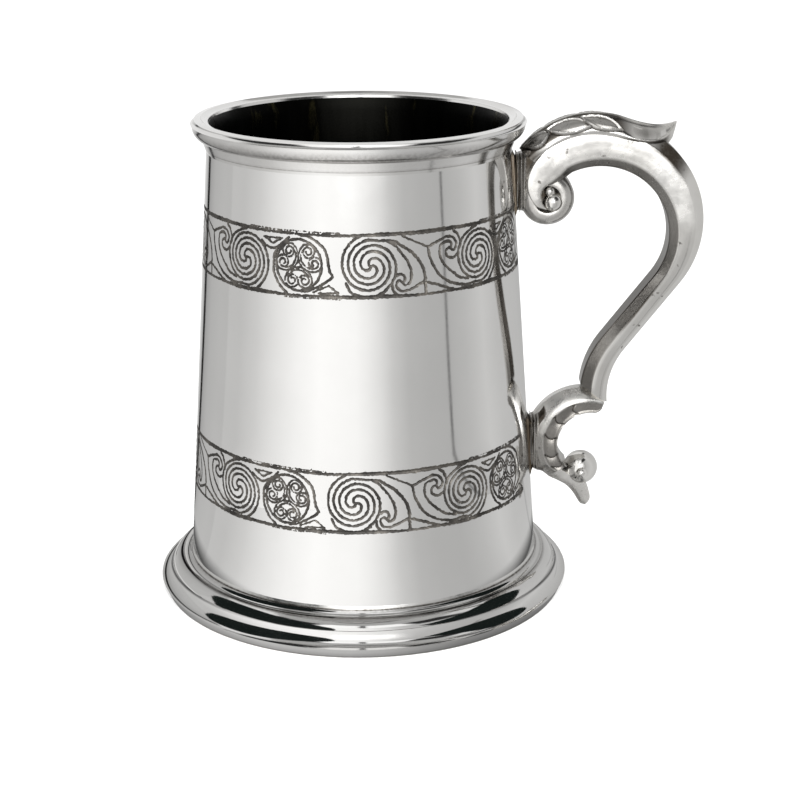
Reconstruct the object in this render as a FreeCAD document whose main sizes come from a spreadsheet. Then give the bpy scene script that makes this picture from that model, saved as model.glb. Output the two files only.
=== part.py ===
"""A one-pint pewter tankard: a soldered assembly of separate metal pieces.

Frame: millimetres, +Z up, origin on the table under the middle of the foot, +X through the handle.
Every driving length is a cell of the spreadsheet "dims". Each piece is a body or a boolean whose
sketches and primitives read those cells.
"""
import FreeCAD, Part
import math
import os
import Sketcher
from FreeCAD import Placement, Rotation, Vector

# ---------------------------------------------------------------------------------------------
# Driving dimensions: millimetres, and degrees where the name ends in "angle".

DIMS = {
    # drum: a tapered wall; its radius is given where the cone would meet the table
    "drum_root_radius": 45.8,
    "drum_taper": 0.0703,
    "wall": 1.5,
    "drum_low": 5.6,
    "drum_high": 120.6,
    # the engraved borders of the two bands, which stop on both sides of the handle
    "band_height": 14.75,
    "border_width": 0.6,
    "border_depth": 0.2,
    "upper_band_low": 85.9,
    "upper_band_gap_angle": 3.4,
    "lower_band_low": 29.0,
    "lower_band_gap_angle": 19.7,
    # solder: the film between two pieces, and the fillet at its open edge
    "film": 0.1,
    "solder_leg": 0.9,
    "solder_lip": 0.25,
    # lip ring, from its lower edge up and over to its inner edge
    "lip_low": 115.0,
    "lip_low_radius": 38.1,
    "cove_low": 117.1,
    "cove_low_radius": 38.8,
    "cove_high": 119.95,
    "cove_high_radius": 41.05,
    "cove_sweep": 3.0,
    "lip_edge_height": 120.75,
    "lip_edge_radius": 41.4,
    "lip_shoulder_height": 121.75,
    "lip_shoulder_radius": 40.5,
    "lip_shoulder_sweep": 0.95,
    "rim_height": 122.0,
    "rim_radius": 38.6,
    "lip_inner_radius": 35.9,
    "lip_inner_sweep": 3.46,
    # foot ring, from its top edge down the outside, then back up the hollow underside
    "foot_height": 9.3,
    "foot_top_radius": 45.65,
    "bead_low": 8.3,
    "bead_radius": 47.3,
    "bead_sweep": 1.5,
    "quirk_low": 7.95,
    "quirk_radius": 47.1,
    "slope_low": 5.95,
    "slope_radius": 49.9,
    "slope_sweep": 5.0,
    "torus_top_radius": 50.2,
    "torus_sweep": 3.6,
    "torus_low": 2.6,
    "torus_radius": 53.4,
    "fillet_low": 1.75,
    "fillet_radius": 52.95,
    "foot_base_radius": 52.3,
    "foot_rest_radius": 50.4,
    "hollow_low": 2.7,
    "hollow_radius": 51.3,
    "collar_low": 6.4,
    "collar_radius": 46.7,
    # bottom plate: a dished disc with a flat rim
    "plate_height": 7.6,
    "plate_gauge": 1.4,
    "plate_crown": 0.6,
    "plate_rim": 2.0,
    # saddles, one under each end of the handle
    "saddle_gauge": 0.95,
    "saddle_width": 7.2,
    "saddle_tall": 14.4,
    "upper_saddle_height": 105.3,
    "lower_saddle_height": 36.6,
    # handle, grip: an arc round the hand and a reverse arc down to the knuckle, outside and inside
    "grip_width": 10.6,
    "grip_edge": 2.2,
    "grip_out_x": 60.4,
    "grip_out_height": 95.2,
    "grip_out_radius": 25.27,
    "grip_in_x": 59.7,
    "grip_in_height": 92.1,
    "grip_in_radius": 17.5,
    "waist_height": 50.4,
    "waist_out_x": 82.6,
    "waist_out_radius": 19.6,
    "waist_in_x": 80.6,
    "waist_in_radius": 24.55,
    "knuckle_x": 62.3,
    "knuckle_height": 46.6,
    "throat_x": 58.4,
    # handle, the curled upper end and its two bosses
    "volute_x": 46.66,
    "volute_height": 101.5,
    "volute_radius": 6.74,
    "volute_join_x": 50.6,
    "boss_radius": 3.2,
    "boss_stand": 4.2,
    # handle, the leaf over the top of the grip
    "leaf_width": 11.6,
    "leaf_x": 58.0,
    "leaf_height": 99.25,
    "leaf_radius": 22.97,
    "leaf_shoulder_x": 64.0,
    "leaf_dip_x": 69.5,
    "leaf_dip_height": 119.7,
    "leaf_dip_sweep": 12.0,
    "leaf_tip_x": 78.3,
    "leaf_tip_height": 119.75,
    "leaf_under_x": 77.0,
    "leaf_under_height": 114.6,
    "leaf_under_sweep": 14.0,
    "leaf_root_x": 63.0,
    # handle, lower scroll with its ball and tail
    "scroll_width": 9.0,
    "scroll_edge": 1.8,
    "scroll_out_x": 57.2,
    "scroll_out_height": 37.2,
    "scroll_out_radius": 14.65,
    "scroll_crest_x": 55.9,
    "scroll_in_x": 59.0,
    "scroll_in_height": 37.3,
    "scroll_in_radius": 8.53,
    "scroll_end_x": 52.6,
    "neck_high": 43.4,
    "neck_low": 29.8,
    "ball_x": 57.0,
    "ball_height": 29.5,
    "ball_radius": 4.4,
    "pearl_radius": 1.5,
    "tail_width": 5.0,
    "tail_root_x": 46.4,
    "tail_root_height": 28.2,
    "tail_bend_x": 53.4,
    "tail_bend_height": 24.6,
    "tail_bend_sweep": 16.0,
    "tail_tip_x": 57.7,
    "tail_tip_height": 19.1,
    "tail_end_x": 59.6,
    "tail_end_height": 20.4,
    "tail_end_sweep": 1.6,
    "tail_back_sweep": 9.0,
}

DEGREES_PER_RADIAN = 57.29578
FULL_TURN = 360
QUARTER_TURN = 90
SAME_PLACE = 1e-6
SHEET = "dims"


# ---------------------------------------------------------------------------------------------
# Sizes that carry both their number and the sheet expression that gives it.

class Size:
    """A length, a ratio or an angle, with the expression that ties it to the sheet."""

    def __init__(self, number, text):
        self.number = number
        self.text = text

    def __add__(self, other):
        other = as_size(other)
        return Size(self.number + other.number, f"({self.text} + {other.text})")

    def __sub__(self, other):
        other = as_size(other)
        return Size(self.number - other.number, f"({self.text} - {other.text})")

    def __mul__(self, other):
        other = as_size(other)
        return Size(self.number * other.number, f"({self.text} * {other.text})")

    def __truediv__(self, other):
        other = as_size(other)
        return Size(self.number / other.number, f"({self.text} / {other.text})")

    def __neg__(self):
        return Size(-self.number, f"(0 - {self.text})")


def as_size(value):
    return value if isinstance(value, Size) else Size(float(value), repr(float(value)))


def dim(alias):
    """The cell of the sheet that has this alias."""
    return Size(DIMS[alias], f"{SHEET}.{alias}")


def root(value):
    return Size(math.sqrt(value.number), f"sqrt({value.text})")


def height_on_circle(centre_height, radius, offset):
    """Height of the upper point of a circle at a sideways offset from its centre."""
    return centre_height + root(radius * radius - offset * offset)


# ---------------------------------------------------------------------------------------------
# Document, sheet and sketch helpers.

doc = FreeCAD.newDocument("tankard")


def fill_sheet():
    sheet = doc.addObject("Spreadsheet::Sheet", SHEET)
    for row, (alias, number) in enumerate(DIMS.items(), start=1):
        sheet.set(f"A{row}", alias)
        sheet.set(f"B{row}", str(number))
        sheet.setAlias(f"B{row}", alias)
    doc.recompute()


def new_body(name):
    body = doc.addObject("PartDesign::Body", name)
    body.Label = name
    return body


def new_sketch(body, name):
    """A sketch on the body's XZ plane: sketch x is the frame's X and sketch y is its Z."""
    sketch = body.newObject("Sketcher::SketchObject", name)
    plane = next(item for item in body.Origin.OriginFeatures if item.Role == "XZ_Plane")
    sketch.AttachmentSupport = (plane, [""])
    sketch.MapMode = "FlatFace"
    return sketch


class Corner:
    """One corner of an outline, and how the stretch to the next corner runs.

    The stretch is straight without a sweep radius, and else an arc of less than half a turn.
    An arc that turns left has its centre on the left of the way to the next corner.
    """

    def __init__(self, across, up, sweep=None, turn="left"):
        self.across = as_size(across)
        self.up = as_size(up)
        self.sweep = None if sweep is None else as_size(sweep)
        self.turn = turn

    def point(self):
        return Vector(self.across.number, self.up.number, 0)


def arc_between(start, end, radius, turn):
    """The minor arc from start to end, turning left (counter-clockwise) or right."""
    chord = end - start
    middle = (start + end) * 0.5
    rise = math.sqrt(radius ** 2 - (chord.Length / 2) ** 2)
    leftwards = Vector(-chord.y, chord.x, 0).normalize()
    centre = middle + leftwards * (rise if turn == "left" else -rise)
    first, last = (start, end) if turn == "left" else (end, start)
    first_angle = math.atan2(first.y - centre.y, first.x - centre.x)
    last_angle = math.atan2(last.y - centre.y, last.x - centre.x)
    if last_angle < first_angle:
        last_angle += 2 * math.pi
    circle = Part.Circle(centre, Vector(0, 0, 1), radius)
    return Part.ArcOfCircle(circle, first_angle, last_angle)


START, END = 1, 2
ORIGIN = -1
VERTICAL_AXIS = -2


def bind(sketch, kind, size, *places):
    """Add a constraint and tie its value to the sheet."""
    index = sketch.addConstraint(Sketcher.Constraint(kind, *places, size.number))
    sketch.setExpression(f"Constraints[{index}]", size.text)


def trace(sketch, corners):
    """Draw a closed outline through the corners, with every corner and sweep tied to the sheet."""
    ends = []
    for corner, following in zip(corners, corners[1:] + corners[:1]):
        if corner.sweep is None:
            edge = sketch.addGeometry(Part.LineSegment(corner.point(), following.point()), False)
            ends.append((edge, START, END))
            continue
        arc = arc_between(corner.point(), following.point(), corner.sweep.number, corner.turn)
        edge = sketch.addGeometry(arc, False)
        ends.append((edge, START, END) if corner.turn == "left" else (edge, END, START))
    for (edge, _, tail), (next_edge, head, _) in zip(ends, ends[1:] + ends[:1]):
        sketch.addConstraint(Sketcher.Constraint("Coincident", edge, tail, next_edge, head))
    for corner, (edge, head, _) in zip(corners, ends):
        if corner.across.number == 0:
            sketch.addConstraint(Sketcher.Constraint("PointOnObject", edge, head, VERTICAL_AXIS))
        else:
            bind(sketch, "DistanceX", corner.across, ORIGIN, START, edge, head)
        if corner.up.number == 0:
            sketch.addConstraint(Sketcher.Constraint("PointOnObject", edge, head, ORIGIN))
        else:
            bind(sketch, "DistanceY", corner.up, ORIGIN, START, edge, head)
        if corner.sweep is not None:
            bind(sketch, "Radius", corner.sweep, edge)


def turned(name, corners, angle=None):
    """A body turned about the Z axis: a full turn, or an angle with the handle's plane in its middle."""
    body = new_body(name)
    sketch = new_sketch(body, f"{name}_profile")
    trace(sketch, corners)
    turn = body.newObject("PartDesign::Revolution", f"{name}_turn")
    turn.Profile = sketch
    turn.ReferenceAxis = (sketch, ["V_Axis"])
    if angle is None:
        turn.Angle = FULL_TURN
    else:
        turn.Midplane = True
        turn.setExpression("Angle", angle.text)
    return body


def slab(name, corners, width):
    """A body with this outline in the handle's plane and half its width on each side of it."""
    body = new_body(name)
    sketch = new_sketch(body, f"{name}_outline")
    trace(sketch, corners)
    pad = body.newObject("PartDesign::Pad", f"{name}_pad")
    pad.Profile = sketch
    pad.SideType = "Symmetric"
    pad.setExpression("Length", width.text)
    doc.recompute()
    return body


def round_long_edges(body, radius, keep):
    """Round the edges that run along the side faces, where keep(middle of the edge) says so."""
    pad = body.Tip
    names = []
    for number, edge in enumerate(pad.Shape.Edges, start=1):
        middle = edge.valueAt((edge.FirstParameter + edge.LastParameter) / 2)
        start, end = edge.Vertexes[0].Point, edge.Vertexes[-1].Point
        if abs(start.y - end.y) < SAME_PLACE and keep(middle):
            names.append(f"Edge{number}")
    before = pad.Shape.Volume
    rounding = body.newObject("PartDesign::Fillet", f"{body.Name}_rounding")
    rounding.Base = (pad, names)
    rounding.setExpression("Radius", radius.text)
    doc.recompute()
    assert rounding.Shape.Volume < before - 1, body.Name


def put(item, across, sideways, up):
    """Tie a primitive's place to the sheet."""
    item.setExpression("Placement.Base.x", as_size(across).text)
    item.setExpression("Placement.Base.y", as_size(sideways).text)
    item.setExpression("Placement.Base.z", as_size(up).text)


def ball(name, across, sideways, up, radius):
    sphere = doc.addObject("Part::Sphere", name)
    sphere.setExpression("Radius", radius.text)
    put(sphere, across, sideways, up)
    return sphere


# ---------------------------------------------------------------------------------------------
# Shared surfaces.

def drum_radius(up):
    """Outside radius of the drum at a height."""
    return dim("drum_root_radius") - dim("drum_taper") * up


FILM = dim("film")
WALL = dim("wall")
LEG = dim("solder_leg")
LIP = dim("solder_lip")


# ---------------------------------------------------------------------------------------------
# The vessel.

def make_drum():
    low, high = dim("drum_low"), dim("drum_high")
    body = turned("drum", [
        Corner(drum_radius(low) - WALL, low),
        Corner(drum_radius(low), low),
        Corner(drum_radius(high), high),
        Corner(drum_radius(high) - WALL, high),
    ])
    doc.recompute()
    for band in ("upper", "lower"):
        engrave_borders(body, band)
    return body


def engrave_borders(body, band):
    """Cut the two border lines of a band, open on both sides of the handle."""
    depth, width = dim("border_depth"), dim("border_width")
    band_low = dim(f"{band}_band_low")
    gap_angle = dim(f"{band}_band_gap_angle")
    for edge, bottom in (("low", band_low), ("high", band_low + dim("band_height") - width)):
        name = f"{band}_border_{edge}"
        top = bottom + width
        sketch = new_sketch(body, f"{name}_section")
        trace(sketch, [
            Corner(-(drum_radius(bottom) + depth), bottom),
            Corner(-(drum_radius(bottom) - depth), bottom),
            Corner(-(drum_radius(top) - depth), top),
            Corner(-(drum_radius(top) + depth), top),
        ])
        before = body.Shape.Volume
        groove = body.newObject("PartDesign::Groove", name)
        groove.Profile = sketch
        groove.ReferenceAxis = (sketch, ["V_Axis"])
        groove.Midplane = True
        groove.setExpression("Angle", (as_size(FULL_TURN) - gap_angle * 2).text)
        doc.recompute()
        assert body.Shape.Volume < before - 1, name


def make_lip_ring():
    low, seat = dim("lip_low"), dim("drum_high")
    return turned("lip_ring", [
        Corner(drum_radius(low) + FILM, low),
        Corner(dim("lip_low_radius"), low),
        Corner(dim("cove_low_radius"), dim("cove_low"), dim("cove_sweep"), "right"),
        Corner(dim("cove_high_radius"), dim("cove_high")),
        Corner(dim("lip_edge_radius"), dim("lip_edge_height"), dim("lip_shoulder_sweep"), "left"),
        Corner(dim("lip_shoulder_radius"), dim("lip_shoulder_height")),
        Corner(dim("rim_radius"), dim("rim_height"), dim("lip_inner_sweep"), "left"),
        Corner(dim("lip_inner_radius"), seat + FILM),
        Corner(drum_radius(seat) + FILM, seat + FILM),
    ])


def make_lip_solder():
    low, seat = dim("lip_low"), dim("drum_high")
    return turned("lip_solder", [
        Corner(drum_radius(low - LEG), low - LEG),
        Corner(drum_radius(low) + FILM + LIP, low),
        Corner(drum_radius(low) + FILM, low),
        Corner(drum_radius(seat) + FILM, seat + FILM),
        Corner(dim("lip_inner_radius"), seat + FILM),
        Corner(dim("lip_inner_radius"), seat),
        Corner(drum_radius(seat), seat),
    ])


def make_foot_ring():
    top, collar = dim("foot_height"), dim("collar_low")
    return turned("foot_ring", [
        Corner(drum_radius(collar) + FILM, collar),
        Corner(dim("collar_radius"), collar),
        Corner(dim("hollow_radius"), dim("hollow_low")),
        Corner(dim("foot_rest_radius"), 0),
        Corner(dim("foot_base_radius"), 0),
        Corner(dim("fillet_radius"), dim("fillet_low")),
        Corner(dim("torus_radius"), dim("torus_low"), dim("torus_sweep"), "left"),
        Corner(dim("torus_top_radius"), dim("slope_low")),
        Corner(dim("slope_radius"), dim("slope_low"), dim("slope_sweep"), "right"),
        Corner(dim("quirk_radius"), dim("quirk_low")),
        Corner(dim("bead_radius"), dim("bead_low"), dim("bead_sweep"), "left"),
        Corner(dim("foot_top_radius"), top),
        Corner(drum_radius(top) + FILM, top),
    ])


def make_foot_solder():
    top, collar = dim("foot_height"), dim("collar_low")
    return turned("foot_solder", [
        Corner(drum_radius(collar), collar),
        Corner(drum_radius(collar) + FILM, collar),
        Corner(drum_radius(top) + FILM, top),
        Corner(drum_radius(top) + FILM + LIP, top),
        Corner(drum_radius(top + LEG), top + LEG),
    ])


def make_bottom_plate():
    top = dim("plate_height")
    under = top - dim("plate_gauge")
    crown = dim("plate_crown")
    top_edge = drum_radius(top) - WALL - FILM
    under_edge = drum_radius(under) - WALL - FILM
    rim = top_edge - dim("plate_rim")
    dish = (rim * rim + crown * crown) / (crown * 2)
    return turned("bottom_plate", [
        Corner(0, under + crown, dish, "right"),
        Corner(rim, under),
        Corner(under_edge, under),
        Corner(top_edge, top),
        Corner(rim, top, dish, "left"),
        Corner(0, top + crown),
    ])


def make_plate_solder():
    top = dim("plate_height")
    under = top - dim("plate_gauge")
    inside_top = drum_radius(top) - WALL
    return turned("plate_solder", [
        Corner(drum_radius(under) - WALL - FILM, under),
        Corner(drum_radius(under) - WALL, under),
        Corner(drum_radius(top + LEG) - WALL, top + LEG),
        Corner(inside_top - FILM - LEG, top),
        Corner(inside_top - FILM, top),
    ])


# ---------------------------------------------------------------------------------------------
# The pads that carry the handle.

def saddle_span(end):
    """The low and high edge of a saddle, and the angle it spans round the drum."""
    middle = dim(f"{end}_saddle_height")
    half = dim("saddle_tall") / 2
    angle = dim("saddle_width") / drum_radius(middle) * DEGREES_PER_RADIAN
    return middle - half, middle + half, angle


def make_saddle(end):
    low, high, angle = saddle_span(end)
    gauge = dim("saddle_gauge")
    return turned(f"{end}_saddle", [
        Corner(drum_radius(low) + FILM, low),
        Corner(drum_radius(low) + FILM + gauge, low),
        Corner(drum_radius(high) + FILM + gauge, high),
        Corner(drum_radius(high) + FILM, high),
    ], angle)


def make_saddle_solder(end):
    """The solder between the drum and a saddle, with a fillet above and below."""
    low, high, angle = saddle_span(end)
    return turned(f"{end}_saddle_solder", [
        Corner(drum_radius(low - LEG), low - LEG),
        Corner(drum_radius(low) + FILM + LIP, low),
        Corner(drum_radius(low) + FILM, low),
        Corner(drum_radius(high) + FILM, high),
        Corner(drum_radius(high) + FILM + LIP, high),
        Corner(drum_radius(high + LEG), high + LEG),
    ], angle)


def make_handle_solder(end):
    """The solder between a saddle and the handle's end."""
    low, high, angle = saddle_span(end)
    inside = FILM + dim("saddle_gauge")
    return turned(f"{end}_handle_solder", [
        Corner(drum_radius(low) + inside, low),
        Corner(drum_radius(low) + inside + FILM, low),
        Corner(drum_radius(high) + inside + FILM, high),
        Corner(drum_radius(high) + inside, high),
    ], angle)


# ---------------------------------------------------------------------------------------------
# The handle: one casting, fused from its grip, volute, leaf, lower scroll, ball and tail.

def crossing_tangent(first, first_radius, second, second_radius):
    """The ends of the line that touches two circles and passes between them.

    first and second are (across, up) centres. The line touches the first circle on the left of
    the way from it to the second, and the second circle on the right.
    """
    across = second[0] - first[0]
    up = second[1] - first[1]
    reach = first_radius + second_radius
    span = across * across + up * up
    side = root(span - reach * reach)
    normal_across = (across * reach - up * side) / span
    normal_up = (up * reach + across * side) / span
    leave = (first[0] + normal_across * first_radius, first[1] + normal_up * first_radius)
    arrive = (second[0] - normal_across * second_radius, second[1] - normal_up * second_radius)
    return leave, arrive


def inside_wall(up):
    """A place within the drum's wall, where an outline ends before it is trimmed to the saddle."""
    return drum_radius(up) - WALL


def make_grip():
    out_x, out_up, out_radius = dim("grip_out_x"), dim("grip_out_height"), dim("grip_out_radius")
    in_x, in_up, in_radius = dim("grip_in_x"), dim("grip_in_height"), dim("grip_in_radius")
    waist_up = dim("waist_height")
    waist_out, waist_in = dim("waist_out_radius"), dim("waist_in_radius")
    out_leave, out_arrive = crossing_tangent(
        (out_x, out_up), out_radius, (dim("waist_out_x"), waist_up), waist_out)
    in_leave, in_arrive = crossing_tangent(
        (in_x, in_up), in_radius, (dim("waist_in_x"), waist_up), waist_in)
    start_x = inside_wall(dim("upper_saddle_height"))
    start_up = height_on_circle(out_up, out_radius, out_x - start_x)
    join_x = dim("volute_join_x")
    join_up = height_on_circle(in_up, in_radius, in_x - join_x)
    volute_up = dim("volute_height")
    body = slab("grip", [
        Corner(start_x, volute_up),
        Corner(dim("volute_x"), volute_up),
        Corner(join_x, join_up, in_radius, "right"),
        Corner(in_x, in_up + in_radius, in_radius, "right"),
        Corner(*in_leave),
        Corner(*in_arrive, waist_in, "left"),
        Corner(dim("waist_in_x") - waist_in, waist_up),
        Corner(dim("throat_x"), dim("knuckle_height")),
        Corner(dim("knuckle_x"), dim("knuckle_height")),
        Corner(dim("waist_out_x") - waist_out, waist_up, waist_out, "right"),
        Corner(*out_arrive),
        Corner(*out_leave, out_radius, "left"),
        Corner(out_x, out_up + out_radius, out_radius, "left"),
        Corner(start_x, start_up),
    ], dim("grip_width"))
    round_long_edges(body, dim("grip_edge"), on_grip_arcs)
    return body


def on_grip_arcs(middle):
    return middle.x > DIMS["volute_join_x"] and middle.z > DIMS["waist_height"]


def make_volute():
    """The round end of the curl, a disc across the full width of the grip."""
    disc = doc.addObject("Part::Cylinder", "volute")
    disc.setExpression("Radius", dim("volute_radius").text)
    disc.setExpression("Height", dim("grip_width").text)
    disc.Placement = Placement(Vector(0, 0, 0), Rotation(Vector(1, 0, 0), QUARTER_TURN))
    put(disc, dim("volute_x"), dim("grip_width") / 2, dim("volute_height"))
    return disc


def make_leaf():
    centre_x, centre_up, radius = dim("leaf_x"), dim("leaf_height"), dim("leaf_radius")
    start_x = inside_wall(dim("upper_saddle_height"))
    start_up = height_on_circle(centre_up, radius, centre_x - start_x)
    dip_x = dim("leaf_dip_x")
    inner_up = dim("grip_out_height") + dim("grip_out_radius") - dim("grip_edge")
    body = slab("leaf", [
        Corner(start_x, dim("volute_height")),
        Corner(centre_x, inner_up),
        Corner(dim("leaf_root_x"), inner_up),
        Corner(dim("leaf_under_x"), dim("leaf_under_height"), dim("leaf_under_sweep"), "right"),
        Corner(dim("leaf_tip_x"), dim("leaf_tip_height"), dim("leaf_dip_sweep"), "right"),
        Corner(dip_x, dim("leaf_dip_height")),
        Corner(dim("leaf_shoulder_x"), height_on_circle(
            centre_up, radius, dim("leaf_shoulder_x") - centre_x), radius, "left"),
        Corner(start_x, start_up),
    ], dim("leaf_width"))
    return body


def make_scroll():
    out_x, out_up, out_radius = dim("scroll_out_x"), dim("scroll_out_height"), dim("scroll_out_radius")
    in_x, in_up, in_radius = dim("scroll_in_x"), dim("scroll_in_height"), dim("scroll_in_radius")
    crest_x, throat_x, end_x = dim("scroll_crest_x"), dim("throat_x"), dim("scroll_end_x")
    high, low = dim("neck_high"), dim("neck_low")
    neck_x = out_x - root(out_radius * out_radius - (high - out_up) * (high - out_up))
    end_up = in_up - root(in_radius * in_radius - (in_x - end_x) * (in_x - end_x))
    body = slab("scroll", [
        Corner(crest_x, height_on_circle(out_up, out_radius, out_x - crest_x), out_radius, "left"),
        Corner(neck_x, high),
        Corner(inside_wall(high), high),
        Corner(inside_wall(low), low),
        Corner(dim("tail_root_x"), low),
        Corner(dim("ball_x"), dim("ball_height")),
        Corner(end_x, end_up, in_radius, "right"),
        Corner(in_x - in_radius, in_up, in_radius, "right"),
        Corner(throat_x, height_on_circle(in_up, in_radius, in_x - throat_x)),
        Corner(dim("knuckle_x"), dim("knuckle_height")),
    ], dim("scroll_width"))
    round_long_edges(body, dim("scroll_edge"), on_scroll_arcs)
    return body


def on_scroll_arcs(middle):
    clear_of_ball = middle.z > DIMS["ball_height"] + DIMS["ball_radius"]
    return clear_of_ball and DIMS["tail_root_x"] < middle.x < DIMS["throat_x"]


def make_tail():
    return slab("tail", [
        Corner(inside_wall(dim("neck_low")), dim("neck_low")),
        Corner(dim("tail_root_x"), dim("tail_root_height"), dim("tail_bend_sweep"), "right"),
        Corner(dim("tail_bend_x"), dim("tail_bend_height")),
        Corner(dim("tail_tip_x"), dim("tail_tip_height"), dim("tail_end_sweep"), "left"),
        Corner(dim("tail_end_x"), dim("tail_end_height"), dim("tail_back_sweep"), "left"),
        Corner(dim("ball_x"), dim("ball_height")),
    ], dim("tail_width"))


def make_handle():
    volute_x, volute_up = dim("volute_x"), dim("volute_height")
    ball_x, ball_up = dim("ball_x"), dim("ball_height")
    features = [
        make_grip(),
        make_volute(),
        make_leaf(),
        make_scroll(),
        make_tail(),
        ball("end_ball", ball_x, 0, ball_up, dim("ball_radius")),
    ]
    for side, sign in (("near", -1), ("far", 1)):
        boss_y = dim("boss_stand") * sign
        pearl_y = dim("ball_radius") * sign
        features.append(ball(f"{side}_boss", volute_x, boss_y, volute_up, dim("boss_radius")))
        features.append(ball(f"{side}_pearl", ball_x, pearl_y, ball_up, dim("pearl_radius")))
    casting = doc.addObject("Part::MultiFuse", "casting")
    casting.Shapes = features
    casting.Refine = True
    handle = doc.addObject("Part::Cut", "handle")
    handle.Base = casting
    handle.Tool = make_fitting_cone()
    handle.Label = "handle"
    return handle


def make_fitting_cone():
    """The drum's cone grown by the saddle and its two films: the surface the handle is filed to."""
    stand = FILM + dim("saddle_gauge") + FILM
    cone = doc.addObject("Part::Cone", "fitting_cone")
    cone.setExpression("Radius1", (dim("drum_root_radius") + stand).text)
    cone.setExpression("Radius2", (drum_radius(dim("rim_height")) + stand).text)
    cone.setExpression("Height", dim("rim_height").text)
    return cone


# ---------------------------------------------------------------------------------------------
# Build, check and write.

def failed(item):
    return "Invalid" in item.State or "Error" in item.State


def make_pieces():
    pieces = [
        make_drum(),
        make_lip_ring(),
        make_lip_solder(),
        make_foot_ring(),
        make_foot_solder(),
        make_bottom_plate(),
        make_plate_solder(),
    ]
    for end in ("upper", "lower"):
        pieces.append(make_saddle(end))
        pieces.append(make_saddle_solder(end))
        pieces.append(make_handle_solder(end))
    pieces.append(make_handle())
    return pieces


def write_pieces(pieces):
    broken = [item.Name for item in doc.Objects if failed(item)]
    assert not broken, broken
    os.makedirs("parts", exist_ok=True)
    for piece in pieces:
        shape = piece.Shape
        assert not shape.isNull() and shape.isValid(), piece.Label
        assert len(shape.Solids) == 1, piece.Label
        shape.exportStep(f"parts/{piece.Label}.step")
        print(piece.Label, round(shape.Volume, 1), "mm3")


fill_sheet()
all_pieces = make_pieces()
doc.recompute()
write_pieces(all_pieces)
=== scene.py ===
"""The looks of a pewter tankard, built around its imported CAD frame.

Lengths are written in millimetres in the object's own frame, and MM turns them into metres.
The handle stands on the +X side, the front is -Y, and the foot rests on the plane z = 0.
"""

import math

import bpy
import numpy as np
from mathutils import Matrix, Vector, geometry


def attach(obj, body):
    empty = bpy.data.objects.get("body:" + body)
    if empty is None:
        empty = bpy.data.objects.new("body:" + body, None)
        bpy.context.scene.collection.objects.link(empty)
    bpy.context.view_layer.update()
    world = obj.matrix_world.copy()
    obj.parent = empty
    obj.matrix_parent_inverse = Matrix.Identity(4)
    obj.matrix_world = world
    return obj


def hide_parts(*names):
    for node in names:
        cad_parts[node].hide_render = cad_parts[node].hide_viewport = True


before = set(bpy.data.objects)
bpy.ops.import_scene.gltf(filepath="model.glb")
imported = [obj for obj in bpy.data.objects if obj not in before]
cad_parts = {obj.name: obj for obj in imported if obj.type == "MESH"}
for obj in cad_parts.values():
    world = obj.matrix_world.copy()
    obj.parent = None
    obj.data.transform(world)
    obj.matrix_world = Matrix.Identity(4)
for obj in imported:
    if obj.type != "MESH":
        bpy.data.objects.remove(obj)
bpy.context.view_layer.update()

MM = 0.001
TURN = 2 * math.pi


# ---------------------------------------------------------------- curves in a plane

def lerp(a, b, share):
    """The value that lies a share of the way from a to b."""
    return a + (b - a) * share


def smooth(low, high, value):
    """0 below low, 1 above high, and a soft step between them."""
    share = np.clip((value - low) / (high - low), 0, 1)
    return share * share * (3 - 2 * share)


def bell(value, middle, width):
    """1 at the middle, and less on both sides of it."""
    return np.exp(-((value - middle) / width) ** 2)


def arc(start, end, radius, side, steps):
    """Points on the arc from start to end. It bulges to the left of travel if side is 1, else -1."""
    start, end = np.array(start, float), np.array(end, float)
    chord = end - start
    half = np.hypot(*chord) / 2
    left = np.array((-chord[1], chord[0])) / (2 * half)
    centre = (start + end) / 2 - side * left * math.sqrt(radius ** 2 - half ** 2)
    first = math.atan2(*(start - centre)[::-1])
    sweep = 2 * math.asin(half / radius)
    angles = first - side * np.linspace(0, sweep, steps + 1)
    return [tuple(centre + radius * np.array((math.cos(a), math.sin(a)))) for a in angles]


def through(points, spacing):
    """A smooth line through the points (Catmull-Rom), as an array of samples about one spacing apart."""
    knots = np.array(points, float)
    if len(knots) == 2:
        count = max(2, int(np.hypot(*(knots[1] - knots[0])) / spacing) + 1)
        return knots[0] + np.linspace(0, 1, count)[:, None] * (knots[1] - knots[0])
    padded = np.vstack([2 * knots[0] - knots[1], knots, 2 * knots[-1] - knots[-2]])
    samples = []
    for before, start, end, after in zip(padded, padded[1:], padded[2:], padded[3:]):
        count = max(1, int(np.linalg.norm(end - start) / spacing))
        share = (np.arange(count) / count)[:, None]
        samples.append(0.5 * (
            2 * start
            + (end - before) * share
            + (2 * before - 5 * start + 4 * end - after) * share ** 2
            + (3 * start - before - 3 * end + after) * share ** 3
        ))
    samples.append(knots[-1:])
    return np.vstack(samples)


# ---------------------------------------------------------------- meshes

def new_object(name, points, faces, materials):
    """A mesh object from points in millimetres."""
    mesh = bpy.data.meshes.new(name)
    mesh.from_pydata([tuple(p) for p in np.asarray(points) * MM], [], faces)
    for material in materials:
        mesh.materials.append(material)
    made = bpy.data.objects.new(name, mesh)
    bpy.context.scene.collection.objects.link(made)
    return made


def new_piece(name, points, faces, slot, materials, replaced=(), face_materials=None):
    """A smooth mesh object that is tied to the frame."""
    piece = new_object(name, points, faces, materials)
    if face_materials is not None:
        piece.data.polygons.foreach_set("material_index", np.asarray(face_materials, np.int32))
    piece.data.shade_smooth()
    piece.data.validate()
    piece.data.update()
    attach(piece, "root")
    if replaced:
        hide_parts(*replaced)
    return piece


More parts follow.
